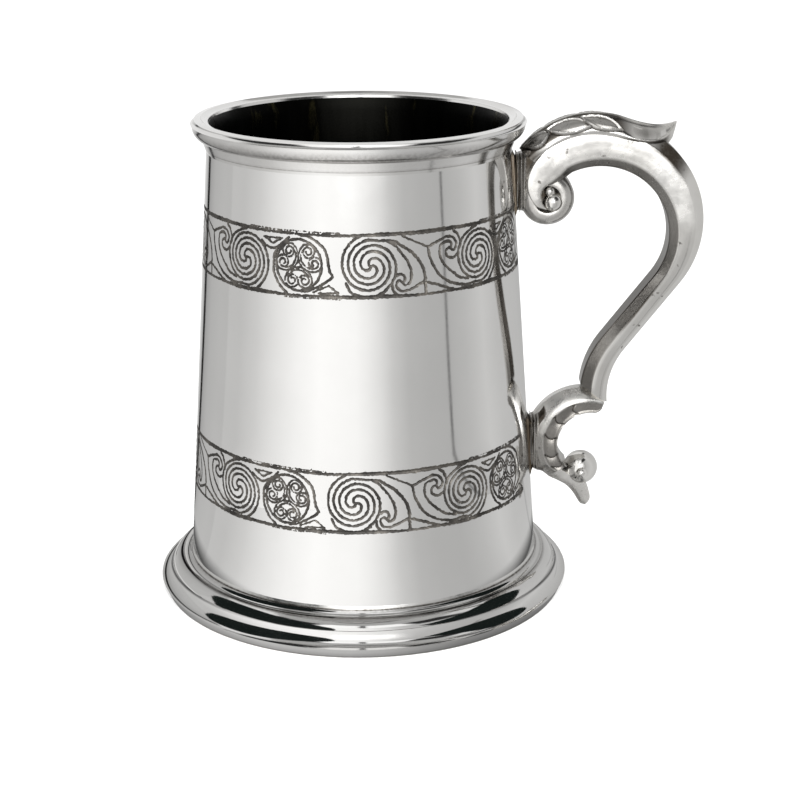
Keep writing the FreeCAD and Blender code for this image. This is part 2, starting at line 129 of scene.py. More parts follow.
def lathe(outline, segments):
    """Points and faces of a closed outline of (radius, height) turned about the vertical axis."""
    angles = np.arange(segments) * TURN / segments
    rings = [
        np.stack([r * np.cos(angles), r * np.sin(angles), np.full(segments, z)], 1)
        for r, z in outline
    ]
    return join_rings(rings, closed=True)


def join_rings(rings, closed=False):
    """A skin over rings with the same count of points. An open skin gets a flat cap at each end."""
    count = len(rings[0])
    turn = np.arange(count)
    ahead = (turn + 1) % count
    faces = []
    last = len(rings) if closed else len(rings) - 1
    for row in range(last):
        low, high = row * count, (row + 1) % len(rings) * count
        faces += np.stack([low + turn, low + ahead, high + ahead, high + turn], 1).tolist()
    if not closed:
        faces.append(turn[::-1].tolist())
        faces.append(((len(rings) - 1) * count + turn).tolist())
    return np.vstack(rings), faces


def sharpen(piece, degrees):
    """Keep edges crisp where faces meet at more than this angle."""
    piece.data.set_sharp_from_angle(angle=math.radians(degrees))


# ---------------------------------------------------------------- the engraved bands

UNIT = 60.5                 # length of one repeat of the ornament, at the band's middle
REPEATS = 4
BAND_BOTTOM = 28.2          # the ornament is drawn at the lower band's heights
BAND_TOP = 44.5
CELL = 0.17                 # spacing of the grid that the line's edges are found on
BAND_COLUMNS = 48           # plain points over one repeat, along and up the band
BAND_ROWS = 8
UPPER_LIFT = 57.1           # how far the upper band stands above the lower one
LINE = 0.36                 # half the width of an engraved line
GROOVE = 0.17
SPIRAL_START = 1.4          # how fast a spiral's arm leaves its centre, and over what angle
SPIRAL_EASE = 50


def spiral(centre, growth, phase, end):
    """One arm of a three-armed spiral, which winds clockwise outwards. The angles are in degrees."""
    turned = np.linspace(0, end, int(end / 6) + 2)
    radius = growth * turned + SPIRAL_START * (1 - np.exp(-turned / SPIRAL_EASE))
    angle = np.radians(phase - turned)
    return np.stack([centre[0] + radius * np.cos(angle), centre[1] + radius * np.sin(angle)], 1)


def pelta(centre, turn):
    """One curled shield of the roundel: two domes whose ends roll up into a pair of eyes."""
    dome, inner = (0, -3.9, 3.4), (0, -3.8, 2.65)
    eye, loop, loss, turns = (1.55, -3.65), 1.85, 0.75, 1.85
    sweep = np.radians(np.linspace(0, 180, 30))
    lines = [
        np.stack([x + r * np.cos(sweep), y + r * np.sin(sweep)], 1)
        for x, y, r in (dome, inner)
    ]
    wound = np.linspace(0, turns, int(turns * 30))
    for side in (-1, 1):
        radius = loop - loss * wound
        angle = wound * TURN
        lines.append(np.stack([
            side * (eye[0] + radius * np.cos(angle)),
            eye[1] - radius * np.sin(angle),
        ], 1))
    cos, sin = math.cos(turn), math.sin(turn)
    return [
        np.stack([
            centre[0] + line[:, 0] * cos - line[:, 1] * sin,
            centre[1] + line[:, 0] * sin + line[:, 1] * cos,
        ], 1)
        for line in lines
    ]


def ornament():
    """The engraved lines of one repeat, as pairs of a line's points and half its width."""
    first, second, roundel = (-0.6, 36.2), (27.9, 36.1), (42.8, 36.1)
    growth, tighter = 0.0115, 0.0105
    arm_a = np.vstack([spiral(first, growth, 150, 414), [(2.0, 42.1), (3.5, 42.0)]])
    arm_b = np.vstack([spiral(first, growth, 270, 528), [(-1.6, 43.5)]])
    arm_c = np.vstack([spiral(first, growth, 30, 450), [(3.0, 30.4), (0.8, 29.3)]])
    arm_d = np.vstack([spiral(second, tighter, 161, 588), [(27.0, 28.7)]])
    arm_e = np.vstack([spiral(second, tighter, 41, 486), [
        (26.5, 29.8), (24.0, 29.6), (21.0, 30.2), (18.5, 31.2), (16.0, 33.2), (14.3, 36.0),
        (13.5, 38.5), (13.4, 39.9),
    ]])
    arm_f = np.vstack([spiral(second, tighter, 281, 508), [(26.0, 42.6), (28.0, 43.1)]])
    broad, fine = LINE * 1.15, LINE * 0.75
    lines = [(arm, LINE) for arm in (arm_a, arm_b, arm_c, arm_d, arm_e, arm_f)]
    lines += [
        # the fan between the first spiral and the small spiral
        ([(-6.3, 32.2), (-5.2, 30.2), (-3.4, 29.4)], LINE),
        ([(4.4, 31.8), (4.6, 30.4), (5.3, 29.4)], LINE),
        ([(3.5, 42.0), (5.2, 41.7), (7.0, 40.6), (9.0, 39.2), (10.8, 37.2), (12.0, 35.0),
          (12.4, 33.0), (12.4, 31.8), (12.5, 29.3)], broad),
        ([(3.5, 41.9), (5.3, 40.8), (7.0, 38.6), (8.2, 36.8), (8.9, 34.8), (9.0, 33.2),
          (8.5, 31.9), (7.5, 31.4), (6.9, 32.1)], LINE),
        ([(6.9, 32.1), (7.4, 32.8), (7.2, 33.7), (6.3, 34.1), (5.5, 33.7)], LINE),
        ([(6.9, 32.1), (6.1, 32.6), (5.4, 32.0), (5.4, 31.2), (6.1, 30.3), (7.5, 30.1),
          (9.5, 30.7), (11.0, 31.4), (12.4, 32.0)], LINE),
        ([(12.4, 31.8), (15.0, 31.0), (18.0, 29.8), (20.0, 29.1)], LINE),
        # the fan between the upper junction and the second spiral
        ([(13.4, 39.9), (11.7, 40.7), (9.4, 41.8), (7.0, 42.9)], fine),
        ([(13.4, 39.9), (15.0, 40.6), (17.3, 41.4), (18.5, 41.8), (20.0, 41.5), (21.1, 40.2),
          (21.1, 39.2), (20.4, 38.4), (19.8, 38.5), (19.5, 39.0)], LINE),
        ([(24.6, 30.9), (22.0, 31.6), (20.0, 33.0), (17.8, 35.0), (16.6, 37.0), (16.4, 38.8),
          (16.8, 40.0), (18.2, 40.6), (19.3, 40.5), (19.7, 39.9), (19.5, 39.0)], LINE),
        ([(19.5, 39.0), (19.0, 39.1), (18.3, 38.7), (18.1, 38.0), (18.5, 37.1), (19.8, 36.6),
          (21.0, 37.0), (21.8, 37.6)], LINE),
        ([(20.5, 42.9), (21.6, 42.0), (22.3, 40.3), (22.4, 39.2)], LINE),
        # the triangle above the roundel's left shoulder, and the line under it
        ([(33.4, 41.9), (38.6, 42.0)], fine),
        ([(38.6, 42.0), (36.0, 40.6)], fine),
        ([(36.0, 40.6), (33.4, 41.9)], fine),
        ([(32.7, 40.9), (34.2, 39.9), (35.8, 39.4), (37.4, 40.0), (39.0, 41.1), (40.4, 42.4)], LINE),
        # the lines round the roundel, the right one drawn out to a leaf's tip
        ([(38.8, 41.0), (37.8, 40.0), (36.5, 37.9), (36.3, 36.0), (36.4, 34.0), (37.1, 32.4),
          (38.2, 30.7), (39.9, 29.3)], LINE),
        ([(42.8, 43.3), (45.6, 42.7), (47.8, 41.4), (49.2, 40.0), (49.9, 38.1), (50.1, 36.4),
          (50.4, 35.0), (51.1, 33.7)], LINE),
        ([(51.1, 33.7), (49.9, 32.7), (47.8, 31.4), (45.6, 30.3), (43.6, 29.9)], LINE),
        ([(46.4, 29.9), (50.2, 31.6)], fine),
        ([(50.2, 31.6), (52.4, 29.9)], fine),
        ([(52.4, 29.9), (47.8, 29.7)], fine),
    ]
    around = np.radians(np.linspace(0, 360, 73))
    ring_wide, ring_tall = 5.7, 6.0
    ring = np.stack([
        roundel[0] + ring_wide * np.cos(around),
        roundel[1] + ring_tall * np.sin(around),
    ], 1)
    lines.append((ring, LINE))
    for third in range(3):
        lines += [(line, LINE * 0.78) for line in pelta(roundel, third * TURN / 3)]
    lines += borders()
    return lines


def borders():
    """The border lines above and below the ornament. They swell, thin out and double along a repeat."""
    reach = np.linspace(-8, UNIT - 6, 140)
    phase = reach / UNIT * TURN
    top = 43.45 + 0.12 * np.sin(phase) + 0.05 * np.sin(3 * phase + 1)
    bottom = 28.95 + 0.08 * np.sin(phase + 2) + 0.05 * np.sin(4 * phase)
    top_width = 0.43 + 0.10 * np.cos(phase - 1.4) + 0.04 * np.sin(5 * phase)
    bottom_width = 0.44 + 0.10 * np.cos(2 * phase + 0.3)
    thin = 0.17
    doubled = (reach > 29) & (reach < 53)
    ragged = (reach > 39) & (reach < 53)
    return [
        (np.stack([reach, top], 1), top_width),
        (np.stack([reach, bottom], 1), bottom_width),
        (np.stack([reach, top + 0.62], 1)[doubled], thin),
        (np.stack([reach, bottom - 0.55 + 0.08 * np.sin(9 * phase)], 1)[ragged], thin),
    ]


def line_samples(spacing):
    """Points along every line of one repeat, each with half the line's width there."""
    samples = []
    for points, width in ornament():
        line = through(points, spacing)
        share = np.linspace(0, 1, len(line))
        widths = np.interp(share, np.linspace(0, 1, np.size(width)), np.atleast_1d(width))
        samples.append(np.column_stack([line, widths]))
    return samples


def line_field(left, samples, chance):
    """The distance to the lines' edges, on a grid over one repeat. It is below zero inside a line."""
    across = left + np.arange(round(UNIT / CELL) + 1) * UNIT / round(UNIT / CELL)
    up = BAND_BOTTOM + np.arange(round((BAND_TOP - BAND_BOTTOM) / CELL) + 1) * CELL
    field = np.full((len(up), len(across)), 2.0)
    reach = 6
    step = across[1] - across[0]
    for shift in (-UNIT, 0, UNIT):
        for s, z, width in np.vstack(samples) + (shift, 0, 0):
            column = int(round((s - left) / step))
            row = int(round((z - BAND_BOTTOM) / CELL))
            if not (-reach < column < len(across) + reach and -reach < row < len(up) + reach):
                continue
            columns = slice(max(0, column - reach), max(0, column + reach + 1))
            rows = slice(max(0, row - reach), max(0, row + reach + 1))
            away = np.hypot(across[columns][None] - s, up[rows][:, None] - z) - width
            field[rows, columns] = np.minimum(field[rows, columns], away)
    grain = chance.normal(0, 1, field.shape)
    grain[:, -1] = grain[:, 0]
    blurred = sum(np.roll(np.roll(grain, i, 0), j, 1) for i in (-1, 0, 1) for j in (-1, 0, 1)) / 3
    blurred[:, -1] = blurred[:, 0]
    return across, up, field + 0.06 * blurred


def edge_points(across, up, field):
    """Where the field crosses zero between neighbouring grid points, and the edges that join them."""
    inside = field < 0
    points, found = [], {}

    def crossing(first, second):
        """The index of the point on the grid edge between two grid points."""
        key = (first, second)
        if key not in found:
            a, b = field[first], field[second]
            share = min(0.9, max(0.1, a / (a - b)))
            found[key] = len(points)
            points.append((
                lerp(across[first[1]], across[second[1]], share),
                lerp(up[first[0]], up[second[0]], share),
            ))
        return found[key]

    joins = []
    for row, column in np.argwhere(
        (inside[:-1, :-1] != inside[1:, :-1]) | (inside[:-1, :-1] != inside[:-1, 1:])
        | (inside[:-1, :-1] != inside[1:, 1:])
    ).tolist():
        corners = [(row, column), (row, column + 1), (row + 1, column + 1), (row + 1, column)]
        cuts = [
            crossing(min(a, b), max(a, b))
            for a, b in zip(corners, corners[1:] + corners[:1])
            if inside[a] != inside[b]
        ]
        joins += [(cuts[i], cuts[i + 1]) for i in range(0, len(cuts) - 1, 2)]
    return points, joins


# ---------------------------------------------------------------- materials

CLOUDS = 55                 # the scales of the patterns, in waves per metre
WEAR = 160
STREAKS = 240
SPECKS = 300
PITS = 420
GRAIN = 1400
SPECKLE = 1900
USUAL_NOISE = (0.3, 0.7)    # the range that most of a noise pattern lies in
SHINY_ROUGHNESS = 0.10
CALM = 0.1                  # the share of the relief that is left where the metal is marked as shiny


def add_node(tree, kind, inputs=(), **settings):
    """Add a shader node. inputs maps socket names to a value, or to another node's output socket."""
    node = tree.nodes.new(kind)
    for key, value in settings.items():
        setattr(node, key, value)
    for key, value in dict(inputs).items():
        if isinstance(value, bpy.types.NodeSocket):
            tree.links.new(value, node.inputs[key])
        else:
            node.inputs[key].default_value = value
    return node


def new_material(name):
    """An empty material, its node tree, its main shader and the object's own coordinates."""
    material = bpy.data.materials.new(name)
    material.use_nodes = True
    tree = material.node_tree
    shader = tree.nodes["Principled BSDF"]
    place = add_node(tree, "ShaderNodeTexCoord").outputs["Object"]
    return material, tree, shader, place


def noise(tree, place, scale, detail, stretch=None):
    """A grey noise pattern. The scale is in waves per metre, and stretch squeezes it along each axis."""
    if stretch is not None:
        place = add_node(tree, "ShaderNodeMapping", {"Vector": place, "Scale": stretch}).outputs[0]
    return add_node(tree, "ShaderNodeTexNoise", {
        "Vector": place, "Scale": scale, "Detail": detail, "Roughness": 0.6,
    }).outputs["Fac"]


def ramp(tree, factor, stops):
    """Colours along a factor, from pairs of a place and a colour."""
    node = add_node(tree, "ShaderNodeValToRGB", {"Fac": factor})
    elements = node.color_ramp.elements
    while len(elements) < len(stops):
        elements.new(1.0)
    for element, (place, colour) in zip(elements, stops):
        element.position = place
        element.color = (*colour, 1.0)
    return node.outputs["Color"]


def greys(stops):
    """Grey stops for a ramp, from pairs of a place and a tone."""
    return [(at, (tone,) * 3) for at, tone in stops]


def rescale(tree, value, low, high, start=0.0, end=1.0, **settings):
    """A number that runs from start to end as the value goes from low to high."""
    return add_node(tree, "ShaderNodeMapRange", {
        "Value": value, "From Min": low, "From Max": high, "To Min": start, "To Max": end,
    }, **settings).outputs["Result"]


def between(tree, pattern, low, high):
    """A number that runs from low to high over a noise pattern's usual range."""
    return rescale(tree, pattern, *USUAL_NOISE, low, high)


def product(tree, total, *factors, clamp=False):
    """The product of some numbers or sockets."""
    for factor in factors:
        total = add_node(
            tree, "ShaderNodeMath", {0: total, 1: factor}, operation="MULTIPLY", use_clamp=clamp,
        ).outputs[0]
    return total


def height_of(tree, place):
    """The height above the floor, in metres."""
    return add_node(tree, "ShaderNodeSeparateXYZ", {"Vector": place}).outputs["Z"]


def blend(tree, factor, first, second):
    """A colour between two colours or sockets."""
    node = add_node(tree, "ShaderNodeMix", data_type="RGBA")
    factor_input, first_input, second_input = node.inputs[0], node.inputs[6], node.inputs[7]
    tree.links.new(factor, factor_input)
    for socket, colour in ((first_input, first), (second_input, second)):
        if isinstance(colour, bpy.types.NodeSocket):
            tree.links.new(colour, socket)
        else:
            socket.default_value = (*colour, 1.0)
    return node.outputs[2]


def bump(tree, height, strength, distance, under=None):
    """Bump from a height pattern, on top of another bump if there is one."""
    inputs = {"Height": height, "Strength": strength, "Distance": distance}
    if under is not None:
        inputs["Normal"] = under
    return add_node(tree, "ShaderNodeBump", inputs).outputs["Normal"]


def finish_metal(tree, shader, metallic, colour, rough, normal):
    """Connect a metal's patterns to its shader."""
    shader.inputs["Metallic"].default_value = metallic
    tree.links.new(colour, shader.inputs["Base Color"])
    tree.links.new(rough, shader.inputs["Roughness"])
    tree.links.new(normal, shader.inputs["Normal"])


def pewter(name, light, dark, roughness, grain, dents, marked=False, dark_heights=None):
    """Worn pewter. A marked mesh says where it takes the dark patina colour, which also paints shade, and
    where it is shiny. A table by height darkens it at some heights.
    """
    material, tree, shader, place = new_material(name)
    clouds = noise(tree, place, CLOUDS, 5)
    fine = noise(tree, place, GRAIN, 3)
    colour = ramp(tree, clouds, [(USUAL_NOISE[0], dark), (USUAL_NOISE[1], light)])
    rough = between(tree, noise(tree, place, WEAR, 5), *roughness)
    if marked:
        hollow, shiny = [
            add_node(tree, "ShaderNodeAttribute", attribute_name=label).outputs["Fac"]
            for label in ("hollow", "shine")
        ]
        # The mesh's mark paints patina in the casting's grooves, and also painted shade in recesses, under
        # the leaf and on sides turned from the light.
        ragged = product(tree, hollow, between(tree, fine, 0.96, 1.04), clamp=True)
        colour = blend(tree, ragged, colour, PATINA_AND_SHADE_COLOUR)
        specks = ramp(tree, noise(tree, place, SPECKS, 3), greys([(0.66, 0.0), (0.72, 0.8)]))
        colour = blend(tree, specks, colour, PATINA_AND_SHADE_COLOUR)
        rough = rescale(tree, shiny, 0.0, 1.0, rough, SHINY_ROUGHNESS)
        grain, dents = [rescale(tree, shiny, 0.0, 1.0, full, CALM * full) for full in (grain, dents)]
    if dark_heights is not None:
        low, high, stops = dark_heights
        amount = ramp(tree, rescale(tree, height_of(tree, place), low * MM, high * MM), greys(stops))
        ragged = product(tree, amount, between(tree, fine, 0.75, 1.2), clamp=True)
        colour = blend(tree, ragged, colour, PATINA_AND_SHADE_COLOUR)
    normal = bump(tree, clouds, dents, 0.4 * MM)
    normal = bump(tree, noise(tree, place, PITS, 8), grain, 0.017 * MM, normal)
    normal = bump(tree, fine, grain, 0.012 * MM, normal)
    finish_metal(tree, shader, 1.0, colour, rough, normal)
    return material


def tarnish(name, dark, light, balance, roughness, upright=1.0, metallic=0.85):
    """Dark metal with paler streaks, which start at the balance. A small upright draws them out."""
    material, tree, shader, place = new_material(name)
    streaks = noise(tree, place, STREAKS, 8, (1, 1, upright))
    speckle = noise(tree, place, SPECKLE, 3)
    colour = ramp(tree, streaks, [(balance, dark), (balance + 0.28, light)])
    colour = blend(tree, between(tree, speckle, 0.0, 0.55), colour, dark)
    rough = between(tree, streaks, roughness[1], roughness[0])
    normal = bump(tree, speckle, 0.6, 0.05 * MM, bump(tree, streaks, 0.4, 0.12 * MM))
    finish_metal(tree, shader, metallic, colour, rough, normal)
    return material


# Dark patina. The handle's marks also use it as painted shade.
PATINA_AND_SHADE_COLOUR = (0.055, 0.046, 0.036)
POLISHED = pewter("polished_pewter", (0.775, 0.77, 0.76), (0.745, 0.74, 0.73), (0.055, 0.095), 0.12, 0.05)
LIP_METAL = pewter(
    "lip_pewter", (0.76, 0.755, 0.745), (0.70, 0.69, 0.675), (0.08, 0.18), 0.35, 0.12,
    dark_heights=(115, 122, [(0.0, 0.25), (0.08, 0.08), (0.28, 0.10), (0.42, 0.62), (0.6, 0.30), (0.74, 0.0)]),
)
# Darker at the foot's bottom edge, in the groove under its top bead and where it meets the drum.
FOOT_METAL = pewter(
    "foot_pewter", (0.77, 0.765, 0.755), (0.72, 0.715, 0.705), (0.05, 0.10), 0.25, 0.08,
    dark_heights=(0, 10, [(0.0, 0.6), (0.06, 0.05), (0.76, 0.02), (0.80, 0.75), (0.84, 0.05), (0.95, 0.6)]),
)
CAST = pewter(
    "cast_pewter", (0.77, 0.76, 0.74), (0.66, 0.645, 0.615), (0.20, 0.34), 1.0, 0.3, marked=True,
)
ENGRAVED = tarnish(
    "engraved_patina", (0.020, 0.018, 0.016), (0.115, 0.105, 0.092), 0.42, (0.45, 0.65), metallic=0.6,
)
PATINA = tarnish("brown_patina", (0.060, 0.045, 0.030), (0.42, 0.36, 0.28), 0.45, (0.24, 0.50), 0.25)
# Near-black metal inside the drum and on its floor: painted shade where little light gets in, with paler
# streaks.
INSIDE = tarnish(
    "inside_shade_streaked", (0.0030, 0.0030, 0.0026), (0.12, 0.105, 0.045), 0.57, (0.22, 0.40), 0.12, 1.0,
)
SOLDER = tarnish("solder_seam", (0.045, 0.037, 0.028), (0.30, 0.27, 0.23), 0.50, (0.35, 0.60))
LIP_SEAM = pewter(
    "lip_seam", (0.76, 0.755, 0.745), (0.70, 0.69, 0.67), (0.08, 0.15), 0.3, 0.1,
    dark_heights=(114, 115, [(0.0, 0.0), (0.7, 0.05), (0.9, 0.5)]),
)
FOOT_SEAM = pewter(
    "foot_seam", (0.76, 0.755, 0.745), (0.66, 0.65, 0.63), (0.10, 0.25), 0.6, 0.2,
    dark_heights=(9.2, 10.2, [(0.0, 0.95), (0.3, 0.85), (0.5, 0.15), (0.9, 0.0)]),
)


# ---------------------------------------------------------------- the drum

DRUM_BASE_RADIUS = 45.8     # the drum's outer radius at the floor, if it went on down
DRUM_TAPER = 0.0703         # how much the radius shrinks with each millimetre of height
DRUM_LOW = 5.6
DRUM_HIGH = 120.6
WALL = 1.5
EDGE_WALL = 0.4             # the wall's thickness at its top edge, where its inside flares out
FLARE_LOW = 117.5
BAND_DEPTH = 0.7
ORNAMENT_MIDDLE = 36.2
RING_SEGMENTS = 384


def drum_radius(z):
    """The drum's outer radius at a height."""
    return DRUM_BASE_RADIUS - DRUM_TAPER * z


def make_wall():
    """The drum's wall, with a shallow channel for each engraved band."""
    outside = [(drum_radius(DRUM_LOW), DRUM_LOW)]
    for lift in (0, UPPER_LIFT):
        low, high = BAND_BOTTOM + lift, BAND_TOP + lift
        outside += [
            (drum_radius(low), low), (drum_radius(low) - BAND_DEPTH, low),
            (drum_radius(high) - BAND_DEPTH, high), (drum_radius(high), high),
        ]
    outside += [(drum_radius(DRUM_HIGH), DRUM_HIGH)]
    inside = [(drum_radius(DRUM_HIGH) - EDGE_WALL, DRUM_HIGH)]
    inside += [(drum_radius(z) - WALL, z) for z in (FLARE_LOW, 80, 40, DRUM_LOW)]
    points, faces = lathe(outside + inside, RING_SEGMENTS)
    rows = np.arange(len(faces)) // RING_SEGMENTS
    wall = new_piece(
        "drum_wall", points, faces, "drum_metal", [POLISHED, INSIDE], ("drum",),
        rows >= len(outside),
    )
    sharpen(wall, 30)
    return wall


def triangulate(points, joins):
    """Triangles over a set of points in a plane, which keep the joins as edges."""
    made = geometry.delaunay_2d_cdt([Vector(p) for p in points], joins, [], 0, 1e-5)
    return made[0], made[2], made[3]


def flat_unit(left, samples, chance):
    """One repeat of the ornament laid flat: points (s, z, depth), triangles, and which are in a line."""
    across, up, field = line_field(left, samples, chance)
    edges, joins = edge_points(across, up, field)
    points = [(s, z, 0.0) for s, z in edges]
    middles = np.vstack([line[::2] for line in samples])
    middles = np.vstack([middles + (shift, 0, 0) for shift in (-UNIT, 0, UNIT)])
    inside = (middles[:, 0] > left + CELL) & (middles[:, 0] < left + UNIT - CELL)
    points += [(s, z, GROOVE * width / LINE) for s, z, width in middles[inside]]
    clear = 0.25
    for s in left + np.arange(BAND_COLUMNS + 1) * UNIT / BAND_COLUMNS:
        for z in BAND_BOTTOM + np.arange(BAND_ROWS + 1) * (BAND_TOP - BAND_BOTTOM) / BAND_ROWS:
            row = int(round((z - BAND_BOTTOM) / CELL))
            column = int(round((s - left) / (across[1] - across[0])))
            if field[min(row, len(up) - 1), min(column, len(across) - 1)] > clear:
                points.append((s, z, 0.0))
    flat = np.array(points)
    corners, triangles, origins = triangulate(flat[:, :2].tolist(), joins)
    depth = np.array([max(flat[i, 2] for i in origin) if origin else 0.0 for origin in origins])
    corners = np.array([tuple(c) for c in corners])
    triangles = np.array(triangles)
    middle = corners[triangles].mean(1)
    rows = np.clip(((middle[:, 1] - BAND_BOTTOM) / CELL).astype(int), 0, len(up) - 2)
    columns = np.clip(((middle[:, 0] - left) / (across[1] - across[0])).astype(int), 0, len(across) - 2)
    engraved = (depth[triangles].max(1) > 0) | (
        (field[rows, columns] < 0) & (field[rows + 1, columns + 1] < 0)
        & (field[rows + 1, columns] < 0) & (field[rows, columns + 1] < 0)
    )
    return np.column_stack([corners, depth]), triangles, engraved


def make_band(name, lift, first, chance):
    """One engraved band. lift is its height above the lower band, and first is where a repeat starts."""
    middle_radius = drum_radius(ORNAMENT_MIDDLE + lift)
    round_length = TURN * middle_radius
    shift = first[1]
    points, triangles, engraved = flat_unit(first[0] - shift, line_samples(CELL), chance)
    points = points + (shift, 0, 0)
    all_points = [points - (UNIT * n, 0, 0) for n in range(REPEATS)]
    all_faces = [triangles + len(points) * n for n in range(REPEATS)]
    seam = points[np.abs(points[:, 0] - first[0]) < CELL / 100]
    start, end = first[0] + UNIT, first[0] - UNIT * (REPEATS - 1) + round_length
    columns = max(2, int((end - start) / UNIT * BAND_COLUMNS))
    blank = [seam + (start - first[0], 0, 0), seam + (end - first[0], 0, 0)]
    heights = BAND_BOTTOM + np.arange(BAND_ROWS + 1) * (BAND_TOP - BAND_BOTTOM) / BAND_ROWS
    for s in np.linspace(start, end, columns + 1)[1:-1]:
        blank.append(np.column_stack([np.full(len(heights), s), heights, np.zeros(len(heights))]))
    blank = np.vstack(blank)
    corners, blank_faces, _ = triangulate(blank[:, :2].tolist(), [])
    base = sum(len(p) for p in all_points)
    all_points.append(np.array([(*c, 0.0) for c in corners]))
    all_faces.append(np.array(blank_faces) + base)
    groups = [engraved] * REPEATS + [np.zeros(len(blank_faces), bool)]
    points, faces = np.vstack(all_points), np.vstack(all_faces)
    edge = np.unique(np.round(points[np.abs(points[:, 1] - BAND_BOTTOM) < CELL / 100, 0], 4))
    edge = edge[np.insert(np.diff(edge) > CELL / 10, 0, True)][:-1]
    rim = [(0, BAND_BOTTOM), (BAND_DEPTH * 0.9, BAND_BOTTOM), (BAND_DEPTH * 0.9, BAND_TOP), (0, BAND_TOP)]
    back = [np.column_stack([edge, np.full(len(edge), z), np.full(len(edge), d)]) for d, z in rim]
    back_points, back_faces = join_rings(back, closed=True)
    back_faces = [f[::-1] for f in back_faces[:3 * len(edge)]]
    base = len(points)
    points = np.vstack([points, back_points])
    angle = points[:, 0] / middle_radius
    height = points[:, 1] + lift
    radius = drum_radius(height) - points[:, 2]
    solid = np.stack([radius * np.sin(angle), -radius * np.cos(angle), height], 1)
    groups = np.concatenate(groups + [np.full(len(back_faces), 2)]).astype(int)
    faces = faces.tolist() + [[i + base for i in f] for f in back_faces]
    band = new_piece(name, solid, faces, "drum_metal", [POLISHED, ENGRAVED], (), np.minimum(groups, 1))
    cone_normals(band, groups == 0)
    return band


def cone_normals(band, on_cone):
    """Shade the untouched faces as one smooth cone, and leave the cut ones flat."""
    mesh = band.data
    loops = np.zeros(len(mesh.loops), np.int32)
    mesh.loops.foreach_get("vertex_index", loops)
    places = np.zeros(len(mesh.vertices) * 3)
    mesh.vertices.foreach_get("co", places)
    places = places.reshape(-1, 3)[loops]
    around = np.hypot(places[:, 0], places[:, 1])
    smooth_normals = np.stack([places[:, 0] / around, places[:, 1] / around,
                               np.full(len(loops), DRUM_TAPER)], 1)
    smooth_normals /= math.hypot(1, DRUM_TAPER)
    counts = np.zeros(len(mesh.polygons), np.int32)
    mesh.polygons.foreach_get("loop_total", counts)
    flat = np.zeros(len(mesh.polygons) * 3)
    mesh.polygons.foreach_get("normal", flat)
    flat = np.repeat(flat.reshape(-1, 3), counts, axis=0)
    chosen = np.where(np.repeat(on_cone, counts)[:, None], smooth_normals, flat)
    mesh.normals_split_custom_set(chosen.tolist())


# ---------------------------------------------------------------- the rings, plate and saddles

FILM = 0.1                  # thickness of the solder between two pieces
LIP_LOW = 115.0


def make_lip_ring():
    low, seat = LIP_LOW, DRUM_HIGH + 0.02
    outline = [
        (drum_radius(low) + FILM, low), (38.1, low),
        *arc((38.8, 117.1), (41.05, 119.95), 3.0, -1, 12),
        *arc((41.4, 120.75), (40.5, 121.75), 0.95, 1, 10),
        *arc((38.9, 122.05), (37.1, 121.2), 1.9, 1, 10),
        (36.95, seat), (drum_radius(seat) + FILM, seat),
    ]
    return make_ring("lip_ring", outline, "ring_metal", LIP_METAL)


def make_lip_seam():
    """The solder under the lip ring: a fillet at its open edge, and a film up the drum's wall."""
    leg, spread = 0.9, 0.25
    outline = [
        (drum_radius(LIP_LOW - leg), LIP_LOW - leg), (drum_radius(LIP_LOW) + FILM + spread, LIP_LOW),
        (drum_radius(LIP_LOW) + FILM, LIP_LOW), (drum_radius(DRUM_HIGH) + FILM, DRUM_HIGH),
        (drum_radius(DRUM_HIGH), DRUM_HIGH),
    ]
    return make_ring("lip_solder", outline, "solder_metal", LIP_SEAM)


def make_foot_ring():
    collar, top = 6.4, 9.3
    outline = [
        (drum_radius(collar) + FILM, collar), (46.7, collar), (51.3, 2.7),
        (50.4, 0), (52.3, 0), (52.95, 1.75),
        *arc((53.4, 2.6), (50.2, 5.95), 3.6, 1, 12),
        *arc((49.9, 5.95), (47.1, 7.95), 5.0, -1, 8),
        *arc((47.3, 8.3), (45.65, top), 1.5, 1, 8),
        (drum_radius(top) + FILM, top),
    ]
    return make_ring("foot_ring", outline, "ring_metal", FOOT_METAL)


def make_ring(name, outline, slot, material):
    """A ring-shaped piece, turned from its outline."""
    points, faces = lathe(outline, RING_SEGMENTS)
    ring = new_piece(name + "_turned", points, faces, slot, [material], (name,))
    sharpen(ring, 26)
    return ring


def make_bottom():
    """The drum's floor, which is crowned a little in the middle."""
    top, gauge, crown, rim, segments = 7.6, 1.4, 0.6, 41.4, 192
    edge = drum_radius(top) - WALL - FILM
    under_edge = drum_radius(top - gauge) - WALL - FILM
    shares = np.linspace(0, 1, 14)[1:]
    over = [(rim * s, top + crown * (1 - s * s)) for s in shares[::-1]]
    under = [(rim * s, top - gauge + crown * (1 - s * s)) for s in shares]
    centre = 0.02
    outline = under + [(under_edge, top - gauge), (edge, top)] + over
    outline += [(centre, top + crown), (centre, top - gauge + crown)]
    floor = new_piece(
        "bottom_turned", *lathe(outline, segments), "inside_metal", [INSIDE], ("bottom_plate",),
    )
    sharpen(floor, 30)
    return floor


